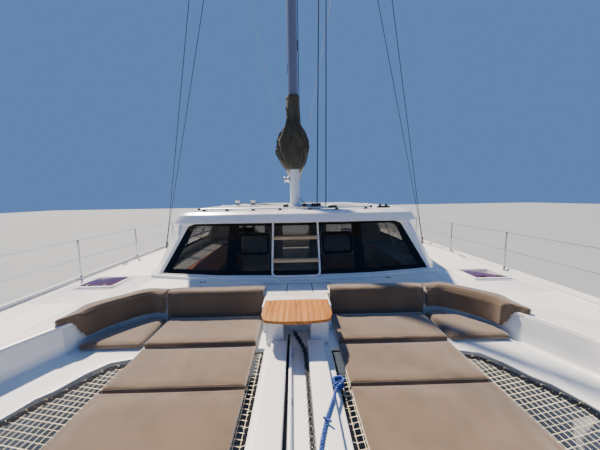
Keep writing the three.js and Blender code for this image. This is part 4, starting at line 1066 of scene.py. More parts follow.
# Navy polyester webbing: a ribbed weave, drawn at 4 mm, that sheds a dull blue light.
webbing, shader = finish_named("navy_webbing", "#0d111b", Roughness=0.9, IOR=1.5, Specular_IOR_Level=0.1)
cover(webbing, shader, ramp(webbing, mottle(webbing, 0.06), [(0.3, "#090c14"), (0.7, "#141a28")]),
      (mottle(webbing, 0.004), 0.65, 0.85), mottle(webbing, 0.004, 2), 0.0006, 0.6)
hem_rings = [drawn_in(net_edge, inset) for inset in (-0.004, 0.058)]
hem_rings[1] = [(min(x, 0.386) if x < 0.47 else x, y) for x, y in hem_rings[1]]
pair("net_hem", [hoop([[(x, y, z) for x, y in hem_rings[i]] for i, z in
                       ((0, NET_Z - 0.003), (0, NET_Z + 0.003), (1, NET_Z + 0.003), (1, NET_Z - 0.003))])], webbing,
     crease=30)
lashing = []
for start, end in zip(net_edge, net_edge[1:] + net_edge[:1]):
    start, end = Vector((*start, NET_Z)), Vector((*end, NET_Z))
    span = (end - start).length
    count = max(1, round(span / 0.14))
    ahead = (end - start).normalized()
    away = Vector((-ahead.y, ahead.x, 0))
    if away.dot(Vector((1.3, -4.5, NET_Z)) - start) > 0:
        away = -away
    for i in range(count):
        foot = start + ahead * (i + 0.5) * span / count
        lashing.append(bar([foot - away * 0.034 + Vector((0, 0, -0.002)), foot + away * 0.006 + Vector((0, 0, 0.005)),
                            foot + away * 0.016 + ahead * 0.02 + Vector((0, 0, -0.002))], 0.0022, 6))
pair("net_lashing", lashing, net_cord)

# Ledge corner: a gusset moulded in the angle of bridgedeck and hull, where the ledge turns forward.
# It is gelcoated white like the ledge, and the net's edge is laced round it.
gusset = [(1.2, -2.868), (1.58, -2.955), (1.9, -3.045), (2.02, -3.2), (2.11, -3.4), (2.19, -3.49), (2.262, -3.7),
          (2.3, -3.86), (2.33, -3.86), (2.33, -2.868)]
pair("ledge_gusset", [softened(prism(gusset, 1.552, LEDGE + 0.0015), 0.006, 3)], gelcoat)

# Anchor chain: galvanised links 68 mm long, each turned a quarter from the last, lying in the
# longeron's channel from the locker to the anchor on its roller at the crossbeam.
CHAIN_LINE = [(-0.03, -2.6, 1.589), (0.03, -2.78, 1.585), (0.076, -2.95, 1.579), (0.084, -3.2, 1.579),
              (0.085, -4.05, 1.579), (0.045, -4.4, 1.579), (0.03, -4.8, 1.579), (0.015, -5.6, 1.579),
              (0.0, -6.15, 1.585)]
LINK_PITCH, LINK_WIRE, LINK_ROUND, LINK_STRAIGHT = 0.039, 0.0072, 0.018, 0.009


def spaced(points, step):
    """Points at equal distances along a line."""
    rows = np.array(points, float)
    far = np.concatenate([[0.0], np.cumsum(np.linalg.norm(np.diff(rows, axis=0), axis=1))])
    marks = np.arange(0.0, far[-1], step)
    return [Vector([between(m, far, rows[:, k]) for k in range(3)]) for m in marks]


def link(place, ahead, turn):
    """One oval link of round wire, long along ahead."""
    side = ahead.cross(Vector((0, 0, 1))).normalized()
    flat = side * math.cos(turn) + ahead.cross(side) * math.sin(turn)
    normal = ahead.cross(flat)
    rings = []
    for a in turns(14):
        stretch = ahead * (LINK_ROUND * math.cos(a)
                           + math.copysign(LINK_STRAIGHT, math.cos(a)) * min(1.0, abs(3 * math.cos(a))))
        centre = place + stretch + flat * LINK_ROUND * math.sin(a)
        out = (stretch + flat * LINK_ROUND * math.sin(a)).normalized()
        rings.append([centre + (out * math.cos(b) + normal * math.sin(b)) * LINK_WIRE
                      for b in turns(6)])
    return hoop(rings)


chain_marks = spaced(curve_through([(x, y, z + 0.004) for x, y, z in CHAIN_LINE], 8), LINK_PITCH)
links = [link(here, (after - here).normalized(), math.radians(45 if i % 2 else -45))
         for i, (here, after) in enumerate(zip(chain_marks, chain_marks[1:]))]
# Hot-dip galvanised steel: zinc grey with a soft spangle, drawn dark, with darker clouds, as painted shade between the
# links.
galvanised = clouded_finish("galvanised_zinc", "#4b4f52", (0.02, "#2b2f32", "#5d6265"), (0.008, 0.4, 0.65),
                            (0.004, 0.0003, 0.5), Roughness=0.6, Metallic=0.3)
piece("anchor_chain", links, galvanised, stands_for=["anchor_and_chain"], crease=60)


def ribs_between(rows, crease_width):
    """A closed form from rows of (y, z, half width, half thickness), squared at its edges."""
    rings = []
    for y, z, half, thick in rows:
        ease = min(crease_width, half * 0.4, thick * 0.8)
        rings.append([(-half, y, z - thick + ease), (-half, y, z + thick - ease), (-half + ease, y, z + thick),
                      (half - ease, y, z + thick), (half, y, z + thick - ease), (half, y, z - thick + ease),
                      (half - ease, y, z - thick), (-half + ease, y, z - thick)])
    return skin(rings)


anchor_shank = prism([(-6.63, 1.25), (-6.6, 1.24), (-6.585, 1.3), (-6.57, 1.5), (-6.53, 1.572), (-6.1, 1.572),
                      (-6.1, 1.61), (-6.55, 1.618), (-6.6, 1.6), (-6.628, 1.54)], -0.011, 0.011, "x")
anchor_fluke = ribs_between([(-6.24, 1.262, 0.004, 0.006), (-6.32, 1.255, 0.05, 0.008), (-6.44, 1.235, 0.11, 0.009),
                             (-6.56, 1.215, 0.145, 0.009), (-6.635, 1.205, 0.148, 0.008)], 0.004)
cheek = [(-6.62, 1.5), (-6.3, 1.5), (-6.3, 1.66), (-6.5, 1.66), (-6.62, 1.6)]
roller_cheeks = [softened(prism(cheek, x, x + 0.008, "x"), 0.002) for x in (-0.05, 0.042)]
shackle = [bar([(-0.014, -6.12, 1.59), (-0.014, -6.1, 1.59), (-0.01, -6.075, 1.59), (0.01, -6.075, 1.59),
                (0.014, -6.1, 1.59), (0.014, -6.12, 1.59)], 0.005, 8),
           bar([(-0.022, -6.115, 1.59), (0.022, -6.115, 1.59)], 0.005, 8)]
piece("anchor", [softened(anchor_shank, 0.003), anchor_fluke] + shackle, galvanised)
piece("bow_roller", roller_cheeks + [bar([(-0.042, -6.56, 1.53), (-0.02, -6.56, 1.53), (0.0, -6.56, 1.53),
                                          (0.02, -6.56, 1.53), (0.042, -6.56, 1.53)],
                                         [0.034, 0.028, 0.022, 0.028, 0.034], 20)], stainless)

# Snubber rope: three strands of blue polyester laid up right-handed, made fast to the net's edge with a
# bulky knot, then lying along the longeron to the crossbeam. Two whipped tails stick out on its way.
ROPE_LINE = [(0.335, -3.47, 1.602), (0.332, -3.52, 1.604), (0.327, -3.555, 1.625), (0.318, -3.585, 1.658),
             (0.303, -3.615, 1.675), (0.275, -3.69, 1.674), (0.232, -3.79, 1.674), (0.195, -3.88, 1.674),
             (0.158, -3.99, 1.674), (0.132, -4.09, 1.674), (0.116, -4.18, 1.675), (0.102, -4.235, 1.67),
             (0.096, -4.285, 1.645), (0.096, -4.335, 1.61), (0.095, -4.38, 1.59), (0.095, -4.44, 1.58),
             (0.094, -4.53, 1.576), (0.093, -4.7, 1.575), (0.091, -5.0, 1.575), (0.09, -5.5, 1.575),
             (0.086, -6.0, 1.575)]


def laid_rope(line, radius, lay, step=0.007, around=7):
    """Three strands twisted round each other along a line, one turn in each lay length."""
    parts = []
    for strand in range(3):
        rows = []
        for i, (here, u, v) in enumerate(frames_along(spaced(line, step))):
            a = 2 * math.pi * (i * step / lay + strand / 3)
            rows.append(here + (u * math.cos(a) + v * math.sin(a)) * radius * 0.56)
        parts.append(bar(rows, radius * 0.44, around))
    return parts


rope_path = [tuple(float(v) for v in p) for p in curve_through(ROPE_LINE, 10)]
# Laid polyester rope: saturated blue filaments, soft and fibrous; the pale flecks among them are painted glints, spread
# at random.
blue_rope, shader = finish_named("blue_laid_polyester", "#1f47a0", Roughness=0.62, IOR=1.5)
filaments_and_glints = mottle(blue_rope, 0.006, 4)
cover(blue_rope, shader, ramp(blue_rope, filaments_and_glints, [(0.28, "#0c2360"), (0.5, "#1f479e"), (0.75, "#86a6e0")]),
      (mottle(blue_rope, 0.003), 0.5, 0.75), mottle(blue_rope, 0.0025), 0.0006, 0.8)
ROPE_RADIUS, ROPE_LAY = 0.0135, 0.075
snubber = piece("snubber", laid_rope(rope_path, ROPE_RADIUS, ROPE_LAY), blue_rope,
                stands_for=["snubber_rope"], crease=70)
knot_core = Vector((0.345, -3.475, 1.616))
knot_turns = []
for start, lean, size in ((0.0, 0.2, 0.046), (1.1, 1.2, 0.04), (2.3, -0.9, 0.038), (0.7, 2.2, 0.052)):
    knot_turns.append([knot_core + Vector((size * math.cos(a),
                                           size * 0.9 * math.sin(a) + 0.01 * math.cos(2 * a + start),
                                           size * 0.6 * math.sin(a + lean) + 0.012))
                       for a in (turn + start for turn in turns(26)[:-1])])
knot_tails = [[knot_core + Vector(p) for p in ((0.01, 0.0, 0.02), (0.035, 0.04, 0.0), (0.042, 0.08, -0.035),
                                               (0.035, 0.12, -0.05))],
              [knot_core + Vector(p) for p in ((0.0, 0.0, 0.015), (-0.02, -0.035, 0.03), (-0.045, -0.045, 0.024))],
              [Vector(p) for p in ((0.19, -3.9, 1.684), (0.18, -3.893, 1.698), (0.17, -3.885, 1.704))],
              [Vector(p) for p in ((0.196, -3.895, 1.684), (0.212, -3.91, 1.698), (0.226, -3.925, 1.694))]]
knots_tied = [part for turn in knot_turns for part in laid_rope(turn, 0.012, 0.06, 0.007, 6)]
knots_tied += [part for tail in knot_tails for part in laid_rope(curve_through(tail, 6), 0.0095, 0.05, 0.006, 6)]
snubber_knot = piece("snubber_knot", knots_tied, blue_rope, crease=70)

# Foredeck table: a white moulded stand over the chain's channel, carrying a fixed teak panel and
# two hinged teak leaves. Each panel is edge-glued from narrow boards and eased with a router.
TABLE_TOP, TABLE_THICK, ON_LEDGE = 1.98, 0.03, LEDGE + 0.0003
table_teak = teak_finish("oiled_teak_boards", "y", "#a86c32", "#7a4a20", "#c58b4c")
stand = [block((-0.425, 0.425), (-2.53, -2.1403), (ON_LEDGE, 1.9), 0.014, 3),
         block((-0.35, 0.35), (-2.84, -2.5), (1.895, TABLE_TOP - TABLE_THICK - 0.005), 0.01, 3)]
for side in (-1, 1):
    low, high = sorted((side * 0.15, side * 0.35))
    stand.append(block((low, high), (-2.84, -2.52), (ON_LEDGE, 1.93), 0.02, 4))
    stand.append(block((low - 0.012, high + 0.012), (-2.852, -2.52), (ON_LEDGE, LEDGE + 0.008), 0.003))
piece("table_stand", stand, gelcoat)
piece("table_stand_bolts", [lathed([(0, 0.009), (0.005, 0.009), (0.008, 0.006), (0.009, 0.0)],
                                   (x, -2.846, LEDGE + 0.03), (x, -3, LEDGE + 0.03), 12)
                            for x in (-0.33, -0.17, 0.17, 0.33)], stainless)


BOARD_GAP = 0.0016


def boards(outline, low, high, widths):
    """A flat panel of edge-glued boards: the outline is cut into strips along y, widths across x."""
    parts, edge = [], min(x for x, y in outline)
    for width in widths:
        strip = outline
        for place, keep in ((edge + BOARD_GAP / 2, 1), (edge + width - BOARD_GAP / 2, -1)):
            kept = []
            for (x0, y0), (x1, y1) in zip(strip, strip[1:] + strip[:1]):
                if keep * (x0 - place) >= 0:
                    kept.append((x0, y0))
                if (x0 - place) * (x1 - place) < 0:
                    share = (place - x0) / (x1 - x0)
                    kept.append((place, y0 + share * (y1 - y0)))
            strip = kept
        parts.append(softened(prism(strip, low, high), 0.0016))
        edge += width
    return parts


centre_panel = [(-0.1254, -3.08), (0.1254, -3.08), (0.1254, -2.535), (-0.1254, -2.535)]
piece("table_centre_panel", boards(centre_panel, TABLE_TOP - TABLE_THICK - 0.006, TABLE_TOP, [0.0627] * 4),
      table_teak, stands_for=["foredeck_table_base"])
leaf_outline = [(0.126, -3.08), (0.22, -3.068), (0.3, -3.052), (0.324, -3.044), (0.342, -3.02), (0.376, -2.915),
                (0.378, -2.9), (0.3735, -2.57), (0.37, -2.556), (0.355, -2.548), (0.126, -2.535)]
pair("table_leaf_boards", boards(leaf_outline, TABLE_TOP - TABLE_THICK, TABLE_TOP, [0.063] * 4), table_teak,
     "table_leaf_{side}", ["table_leaf_{side}"])

# Lounge cushions: closed-cell foam in taupe woven acrylic, with the panels sewn edge to edge and turned.
# The backs hook over the deck's edge; the seats lie on the ledge and the long pads on the nets.
# A basket weave of 2 mm yarn, drawn at 5 mm so that it shows, with a soft felted surface.
cushion_fabric, shader = finish_named("taupe_woven_acrylic", "#655340", Roughness=0.65, IOR=1.5, Sheen_Weight=1.0,
                                      Sheen_Roughness=0.45)
yarn_point = object_point(cushion_fabric, (1 / 0.005,) * 3)
warp = add(cushion_fabric, "ShaderNodeTexWave", {"bands_direction": "X", "Scale": 1.0, "Distortion": 0.6},
           {"Vector": yarn_point})
weft = add(cushion_fabric, "ShaderNodeTexWave", {"bands_direction": "Y", "Scale": 1.0, "Distortion": 0.6},
           {"Vector": yarn_point})
weave = add(cushion_fabric, "ShaderNodeMath", {"operation": "MULTIPLY"},
            {0: warp.outputs["Fac"], 1: weft.outputs["Fac"]})
wear = mottle(cushion_fabric, 0.32, 3)
fibre = mottle(cushion_fabric, 0.004, 3)
cloth_tone = add(cushion_fabric, "ShaderNodeMix", {"data_type": "FLOAT", 0: 0.3}, {2: wear, 3: fibre}).outputs[0]
cover(cushion_fabric, shader, ramp(cushion_fabric, cloth_tone, [(0.3, "#594836"), (0.5, "#655340"), (0.7, "#705e4b")]),
      (fibre, 0.8, 0.95), weave.outputs[0], 0.0006, 0.5)


def finely_cut(part, step):
    """A closed form with its faces cut into cells of about one step, so that it can swell."""
    points, faces = part
    bm = bmesh.new()
    corners = [bm.verts.new(p) for p in points]
    for face in faces:
        bm.faces.new([corners[i] for i in face])
    for axis in range(3):
        low, high = (f(p[axis] for p in points) for f in (min, max))
        count = max(round((high - low) / step), 1)
        for i in range(1, count):
            place, normal = Vector(), Vector()
            place[axis], normal[axis] = low + (high - low) * i / count, 1
            bmesh.ops.bisect_plane(bm, geom=bm.verts[:] + bm.edges[:] + bm.faces[:], dist=1e-5, plane_co=place,
                                   plane_no=normal)
    bmesh.ops.remove_doubles(bm, verts=bm.verts, dist=0.0015)
    bm.verts.index_update()
    taken = [v.co.copy() for v in bm.verts], [[v.index for v in f.verts] for f in bm.faces]
    bm.free()
    return taken


# How far a form is drawn in before it swells, how far its points may then move, and its crown's height
SLACK, PUFF, CROWN = 0.007, 0.014, 0.004


def blown_up(part):
    """The form drawn in, then swollen by air pressure as cloth."""
    blank = as_object("cushion_blank", *part)
    normals = [v.normal.copy() for v in blank.data.vertices]
    for vertex, normal in zip(blank.data.vertices, normals):
        vertex.co -= normal * SLACK
    start = [v.co.copy() for v in blank.data.vertices]
    air = blank.modifiers.new("air", "CLOTH")
    air.settings.use_pressure = True
    air.settings.uniform_pressure_force = 4
    air.settings.effector_weights.gravity = 0
    air.point_cache.frame_start, air.point_cache.frame_end = 1, 20
    for number in range(1, 21):
        bpy.context.scene.frame_set(number)
    moved = []
    for before, vertex in zip(start, evaluated(blank).vertices):
        shift = vertex.co - before
        moved.append(before + shift * min(1.0, PUFF / max(shift.length, 1e-6)))
    bpy.context.scene.frame_set(1)
    bpy.data.objects.remove(blank)
    return moved, part[1]


def kept_in(part, solid):
    """The form held inside its own outline, but for its crown."""
    points = []
    for point in part[0]:
        near, normal, _, _ = solid.find_nearest(point)
        room = CROWN if normal.z > 0.8 and near.z > LEDGE + 0.04 else -0.0008
        over = (point - near).dot(normal) - room
        points.append(point - normal * over if over > 0 else point)
    return points, part[1]


def subdivided(part):
    blank = as_object("cushion_cut", *part)
    blank.modifiers.new("smooth", "SUBSURF").levels = 1
    return taken_off(blank)


def creased(part, seed, wave, pucker, box):
    """Long soft creases over the top, and short ones that gather along the seams."""
    points = []
    for p in part[0]:
        edge = min(p.x - box[0], box[1] - p.x, p.y - box[2], box[3] - p.y)
        along = Vector((p.x * 2.0 + p.y * 3.4, p.x * 9.0 - p.y * 4.5, p.z * 6 + seed))
        rise = wave * noise.noise(along) + 0.5 * wave * noise.noise(Vector((p.x * 5, p.y * 5, seed)))
        rise += pucker * noise.noise(Vector((p.x * 26, p.y * 26, seed + 3))) * math.exp(-max(edge, 0) / 0.06)
        points.append(p + Vector((0, 0, rise * (1 if p.z > LEDGE + 0.045 else 0))))
    return points, part[1]


def seam_on(surface, line, radius=0.0028):
    """A sewn edge: a thin raised line that lies on the cushion's surface."""
    near = [surface.find_nearest(Vector(p)) for p in line]
    return bar([place + normal * radius * 0.2 for place, normal, _, _ in near], radius, 6)


def remeshed(part, voxel):
    """The form rebuilt in even cells, for one whose faces are too irregular to swell."""
    blank = as_object("cushion_form", *part)
    cells = blank.modifiers.new("cells", "REMESH")
    cells.mode, cells.voxel_size = "VOXEL", voxel
    blank.modifiers.new("eased", "SMOOTH").iterations = 7
    return taken_off(blank)


def cushion(name, node, step, seams, form, divide=finely_cut, wave=0.0022, pucker=0.0016):
    """A pair of cushions from the port one's form: swollen once, creased and sewn on each side."""
    solid = BVHTree.FromPolygons([Vector(p) for p in form[0]], form[1])
    cells = divide(form, step)
    swollen = kept_in(blown_up(cells), solid)
    whole = subdivided(swollen)
    rows = np.array([tuple(p) for p in whole[0]])
    box = (rows[:, 0].min(), rows[:, 0].max(), rows[:, 1].min(), rows[:, 1].max())
    for number, side in enumerate(("port", "starboard")):
        # Each cushion gets folds of its own
        made = creased(whole, 11.3 * number + 2.7 * len(node), wave, pucker, box)
        surface = BVHTree.FromPolygons(made[0], made[1])
        parts = [made] + [seam_on(surface, line) for line in seams]
        done = piece(f"{name}_{side}", parts if side == "port" else [mirrored(p) for p in parts], cushion_fabric,
                     stands_for=[f"{node}_{side}"], crease=70)


def edge_seam(box, z):
    """A closed seam line round a cushion, 7 mm in from its sides."""
    line = [(x, y, z) for x, y in rounded_outline(*grown(box, -0.007), 0.03)]
    return curve_through(line + line[:1], 4)


SEAT_TOP, PAD_TOP, NET_TOP = 1.65, 1.62, 1.546
for name, node, x, y, low, top, wave in (
        ("long_pad_fore", "pad_fore", (0.4305, 1.6895), (-4.649, -3.4845), NET_TOP, PAD_TOP, 0.0065),
        ("long_pad_aft", "pad_aft", (0.4305, 1.6895), (-3.4755, -2.871), NET_TOP, PAD_TOP, 0.005),
        ("seat_cushion_inner", "seat_inner", (0.436, 1.6995), (-2.8585, -2.2245), LEDGE, SEAT_TOP, 0.004)):
    cushion(name, node, 0.034, [edge_seam((*x, *y), top - 0.012)], block(x, y, (low + 0.0005, top), 0.02, 3), wave=wave)
# The outer seat runs on under the curved back, whose lower edge hangs just clear of it
seat_edge = [(1.707, -2.2245), (1.737, -2.2245), (1.76, -2.165), (1.97, -2.165), (2.183, -2.356), (2.378, -2.63),
             (2.428, -2.8585), (1.707, -2.8585)]
seat_loop = [(x, y, 1.638) for x, y in drawn_in(seat_edge, 0.007)]
seat_form = softened(prism(round_corners(seat_edge, 0.03), LEDGE + 0.0004, SEAT_TOP), 0.02, 3)
cushion("seat_cushion_outer", "seat_outer", 0.024, [seat_loop + seat_loop[:1]], seat_form, remeshed)

# Rows: out from the recess's edge, z
BACK_SECTION = [(-0.0006, 1.5706), (-0.08, 1.5706), (-0.08, 1.652), (-0.088, 1.69), (-0.086, 1.935), (-0.045, 2.0),
                (0.09, 1.998), (0.145, 1.965), (0.17, 1.9006), (-0.0006, 1.9006)]
back_section = round_corners(BACK_SECTION, 0.035, 5)
# The curved back hangs from the deck's edge and tapers to a tip just clear of the seat
HOOK_SECTION = [(-0.0006, 1.9008), (-0.045, 1.71), (-0.058, 1.672), (-0.08, 1.668), (-0.086, 1.70), (-0.086, 1.935),
                (-0.045, 2.0), (0.09, 1.998), (0.145, 1.97), (0.168, 1.935), (0.15, 1.9008)]
hook_section = round_corners(HOOK_SECTION, 0.022, 4)
BACK_LINE = [(1.742, -2.14), (1.98, -2.14), (2.2, -2.34), (2.4, -2.62), (2.45, -2.85), (2.498, -2.946)]
back_line = curve_through(BACK_LINE, 7)


def back_point(i, out, z):
    """A point beside the curved back's line, out from the recess's edge."""
    ahead = Vector((*(back_line[min(i + 1, len(back_line) - 1)] - back_line[max(i - 1, 0)]), 0)).normalized()
    out *= between(-back_line[i][1], [2.62, 2.946], [1.0, 0.5]) if out > 0 else 1.0
    return Vector((*back_line[i], z)) + Vector((-ahead.y, ahead.x, 0)) * out


curved_form = carved(skin([[back_point(i, out, z) for out, z in hook_section] for i in range(len(back_line))]),
                     [block((0, 9), (-4, -2.864), (0, 1.9006), 0),
                      prism([(2.2, -2.55), (2.8, -3.31), (2.2, -3.31)], 1.5, 2.2)])
straight_form = softened(prism([(-2.14 + out, z) for out, z in back_section], 0.4305, 1.739, "x"), 0.014, 3)
straight_seams = [[(x, -2.21, 1.965) for x in np.linspace(0.436, 1.729, 44)],
                  [(x, -2.05, 1.999) for x in np.linspace(0.436, 1.729, 44)]]
straight_seams += [[(x, -2.14 + out, z) for out, z in back_section + back_section[:1]] for x in (0.4325, 1.7325)]
curved_seams = [[back_point(i, -0.075, 1.965) for i in range(len(back_line) - 9)],
                [back_point(i, 0.09, 1.999) for i in range(len(back_line) - 2)],
                [back_point(0, out, z) for out, z in hook_section + hook_section[:1]]]
cushion("straight_back", "back_straight", 0.032, straight_seams, straight_form, wave=0.003,
        pucker=0.002)
cushion("curved_back", "back_curved", 0.016, curved_seams, curved_form, remeshed, wave=0.003, pucker=0.002)

# Guardrails: welded stainless pulpits, tube stanchions standing in bolted feet, and two wires of
# 1 x 19 strand along each side. A cleat stands inside them at the bow, waist and stern.
def bent(points, radius):
    """A line of points with its corners rounded."""
    line = [Vector(p) for p in points]
    made = [line[0]]
    for before, here, after in zip(line, line[1:], line[2:]):
        a, b = here + (before - here).normalized() * radius, here + (after - here).normalized() * radius
        made += [a * (1 - t) ** 2 + here * 2 * t * (1 - t) + b * t ** 2 for t in np.linspace(0, 1, 6)]
    return made + [line[-1]]


def stanchion_x(y):
    return between(y, *[[row[k] for row in HULL_STATIONS] for k in (0, 2)]) - STANCHION_INSET


STANCHION_INSET = 0.09
STANCHIONS = [-4.65, -2.98, -1.31, 0.2, 1.9, 3.5, 4.95]
WIRE_HEIGHTS, WIRE_SAG, ON_DECK = (2.26, 2.56), 0.012, DECK + 0.0004
pulpit_x = stanchion_x(-6.25)
pulpit = [(2.96, -6.64, 1.9003), (2.955, -6.64, 2.48), (pulpit_x, -6.25, 2.575), (pulpit_x, -6.25, 1.9003)]
rails = [bar(bent(pulpit, 0.09), 0.0135, 14), bar([(2.957, -6.64, 2.26), (pulpit_x, -6.25, 2.26)], 0.011, 12)]
rails += [upright([(0, 0.036), (0.005, 0.036), (0.008, 0.02), (0.012, 0.016)], x, y, ON_DECK, 20)
          for x, y in ((2.96, -6.64), (pulpit_x, -6.25))]
feet = []
for y in STANCHIONS:
    x = stanchion_x(y)
    rails.append(upright([(0, 0.0125), (0.62, 0.0125), (0.655, 0.0115), (0.668, 0.007), (0.67, 0.0)],
                         x, y, ON_DECK, 16))
    for z in WIRE_HEIGHTS:
        rails.append(lathed([(0, 0.0105), (0.002, 0.0145), (0.01, 0.0145), (0.012, 0.0105)], (x, y - 0.006, z),
                            (x, y, z), 14))
    feet.append(upright([(0, 0.034), (0.006, 0.034), (0.011, 0.03), (0.014, 0.019), (0.07, 0.0175), (0.074, 0.015)],
                        x, y, ON_DECK, 20))
stops = [-6.25, *STANCHIONS]
for z in WIRE_HEIGHTS:
    for y0, y1 in zip(stops, stops[1:]):
        rails.append(bar([(stanchion_x(y0) * (1 - t) + stanchion_x(y1) * t, y0 + (y1 - y0) * t,
                           z - WIRE_SAG * t * (1 - t)) for t in np.linspace(0, 1, 9)], 0.0036, 7))
    rails.append(bar([(stanchion_x(-6.2), -6.2, z), (stanchion_x(-5.98), -5.98, z - 0.001)], 0.0075, 10))
pair("guardrail_tubes", rails, stainless, stands_for=["guardrail_{side}"], crease=40)
pair("stanchion_feet", feet, stainless)
cleats = []
for y, inset in ((-5.9, 0.16), (-0.4, 0.15), (4.5, 0.15)):
    x = stanchion_x(y) + STANCHION_INSET - inset - 0.06
    for bolt in (-0.04, 0.04):
        cleats.append(upright([(0, 0.02), (0.004, 0.02), (0.01, 0.012), (0.034, 0.012), (0.04, 0.0)], x, y + bolt,
                              ON_DECK, 14))
    cleats.append(bar([(x, y - 0.13, DECK + 0.05), (x, y - 0.09, DECK + 0.045), (x, y - 0.03, DECK + 0.04),
                       (x, y + 0.03, DECK + 0.04), (x, y + 0.09, DECK + 0.045), (x, y + 0.13, DECK + 0.05)],
                      [0.005, 0.011, 0.014, 0.014, 0.011, 0.005], 12))
pair("deck_cleats", cleats, stainless)
# Sealant lines run along the deck's edge: brown, matt and a little faded.
sealant_lines = []
for inset in (0.088, 0.104):
    rows = [(rail_x(y) - inset, y, DECK + 0.0012) for y in np.linspace(-6.5, 5.3, 40)]
    sealant_lines.append(ribbon(rows, [(-0.0028, -0.003), (-0.0028, 0.0012), (0.0028, 0.0012), (0.0028, -0.003)]))
sealant = clouded_finish("brown_deck_sealant", "#6b5a4a", (0.2, "#5f4f41", "#7a6857"), (0.02, 0.6, 0.8),
                         (0.004, 0.0003, 0.5), Roughness=0.7, IOR=1.45)
pair("deck_edge_lines", sealant_lines, sealant)

# Mast: an extruded aluminium section, painted blue-grey, on a cast shoe bolted to the roof. The luff
# track is riveted to its after side, and a sheave box closes its head under the aerials.
mast_paint, shader = finish_named("blue_grey_mast_paint", "#62657f", Roughness=0.34, IOR=1.5, Coat_Weight=0.2)
# Below 3.85 to 3.95 m the mast is drawn pale: painted reflection of the white roof and deck, fading out under the bag's
# flap. Above it the darker blue-grey is in part painted shade of the mast's forward face.
up_mast = add(mast_paint, "ShaderNodeSeparateXYZ", {}, {"Vector": object_point(mast_paint)})
painted_foot_reflection = add(mast_paint, "ShaderNodeMapRange", {"From Min": 3.85, "From Max": 3.95}, {"Value": up_mast.outputs["Z"]})
mast_tone = add(mast_paint, "ShaderNodeMix", {"data_type": "RGBA"}, {"Factor": painted_foot_reflection.outputs["Result"]})
# A is the foot's pale painted reflection, B the paint above, darkened in part as painted shade.
for end, tones in (("A", ("#bfc8d6", "#cdd5e0")), ("B", ("#5a5d77", "#6a6d87"))):
    mast_paint.node_tree.links.new(ramp(mast_paint, mottle(mast_paint, 0.5, 3, (1, 1, 0.1)),
                                        list(zip((0.3, 0.7), tones))), mast_tone.inputs[end])
cover(mast_paint, shader, mast_tone.outputs["Result"],
      (mottle(mast_paint, 0.03), 0.28, 0.42), mottle(mast_paint, 0.3), 0.0008, 0.3)
MAST_HALF_WIDTH, MAST_HALF_DEPTH = 0.0935, 0.1585


def mast_ring(z, grow=0.0):
    return [((MAST_HALF_WIDTH + grow) * math.cos(a), MAST_Y + (MAST_HALF_DEPTH + grow) * math.sin(a), z)
            for a in turns(36)]


mast_parts = [skin([mast_ring(z) for z in (3.02, 9.0, 14.0, 20.1)]
                   + [mast_ring(20.58, -0.018), mast_ring(20.6, -0.04)]),
              skin([mast_ring(z, grow) for z, grow in ((3.0004, 0.034), (3.045, 0.034), (3.056, 0.028), (3.06, 0.012),
                                                       (3.1, 0.003))])]
mast_parts.append(block((-0.06, 0.06), (-0.69, -0.2), (20.58, 20.66), 0.014, 3))
piece("mast_extrusion", mast_parts, mast_paint, stands_for=["mast"])
mast_fittings = [ribbon([(0, MAST_Y + 0.157, 3.78), (0, MAST_Y + 0.157, 20.3)],
                        [(-0.013, 0.0), (0.013, 0.0), (0.013, 0.014), (0.005, 0.014), (0.005, 0.02), (-0.005, 0.02),
                         (-0.005, 0.014), (-0.013, 0.014)], (0, 1, 0))]
for z in (3.505, 3.655):
    mast_fittings.append(block((-0.03, 0.03), (-0.4, -0.27), (z, z + 0.02), 0.005))
mast_fittings.append(block((-0.075, 0.075), (-0.35, -0.335), (3.44, 3.74), 0.006))
for x in (-1, 1):
    mast_fittings.append(block(sorted((x * 0.08, x * 0.102)), (-0.6, -0.42), (9.2, 9.42), 0.008))
    mast_fittings.append(block(sorted((x * 0.05, x * 0.101)), (-0.55, -0.42), (17.42, 17.56), 0.008))
    mast_fittings.append(block(sorted((x * 0.06, x * 0.1)), (-0.52, -0.42), (13.42, 13.54), 0.008))
piece("mast_fittings", mast_fittings, anodised)
mast_winch = lathed([(0.02, 0.062), (0.032, 0.064), (0.045, 0.05), (0.06, 0.045), (0.09, 0.045), (0.105, 0.056),
                     (0.115, 0.062), (0.12, 0.06), (0.13, 0.03), (0.132, 0.0)], (-0.075, -0.53, 3.56),
                    (-1, -0.53, 3.56), 32)
piece("mast_winch", [mast_winch], stainless)
slots = []
for x, z in ((0.0965, 3.9), (0.0965, 4.3), (-0.0965, 4.1), (-0.0965, 5.6), (0.0965, 6.0)):
    slots.append(softened(prism(rounded_outline(-0.5 - 0.016, -0.5 + 0.016, z - 0.09, z + 0.09, 0.015),
                                x - 0.006, x + 0.003 * (1 if x > 0 else -1) + 0.003, "x"), 0.002))
slots.append(bar([(0.112, -0.5, 3.95), (0.112, -0.505, 7.4)], 0.0065, 8))
slots += [block((0.085, 0.128), (-0.53, -0.47), (7.36, 7.46), 0.008),
          block((0.085, 0.13), (-0.53, -0.47), (3.86, 3.96), 0.008)]
piece("mast_exits_and_line", slots, black_nylon)
aerials = [bar([(0.02, -0.3, 20.65), (0.02, -0.3, 20.95)], [0.006, 0.003], 8),
           bar([(-0.03, -0.62, 20.65), (-0.03, -0.62, 20.8), (-0.03, -0.86, 20.83)], 0.004, 8),
           upright([(0, 0.028), (0.05, 0.03), (0.07, 0.02), (0.075, 0.0)], 0.0, -0.45, 20.655, 20)]
piece("masthead_aerials", aerials, black_nylon)

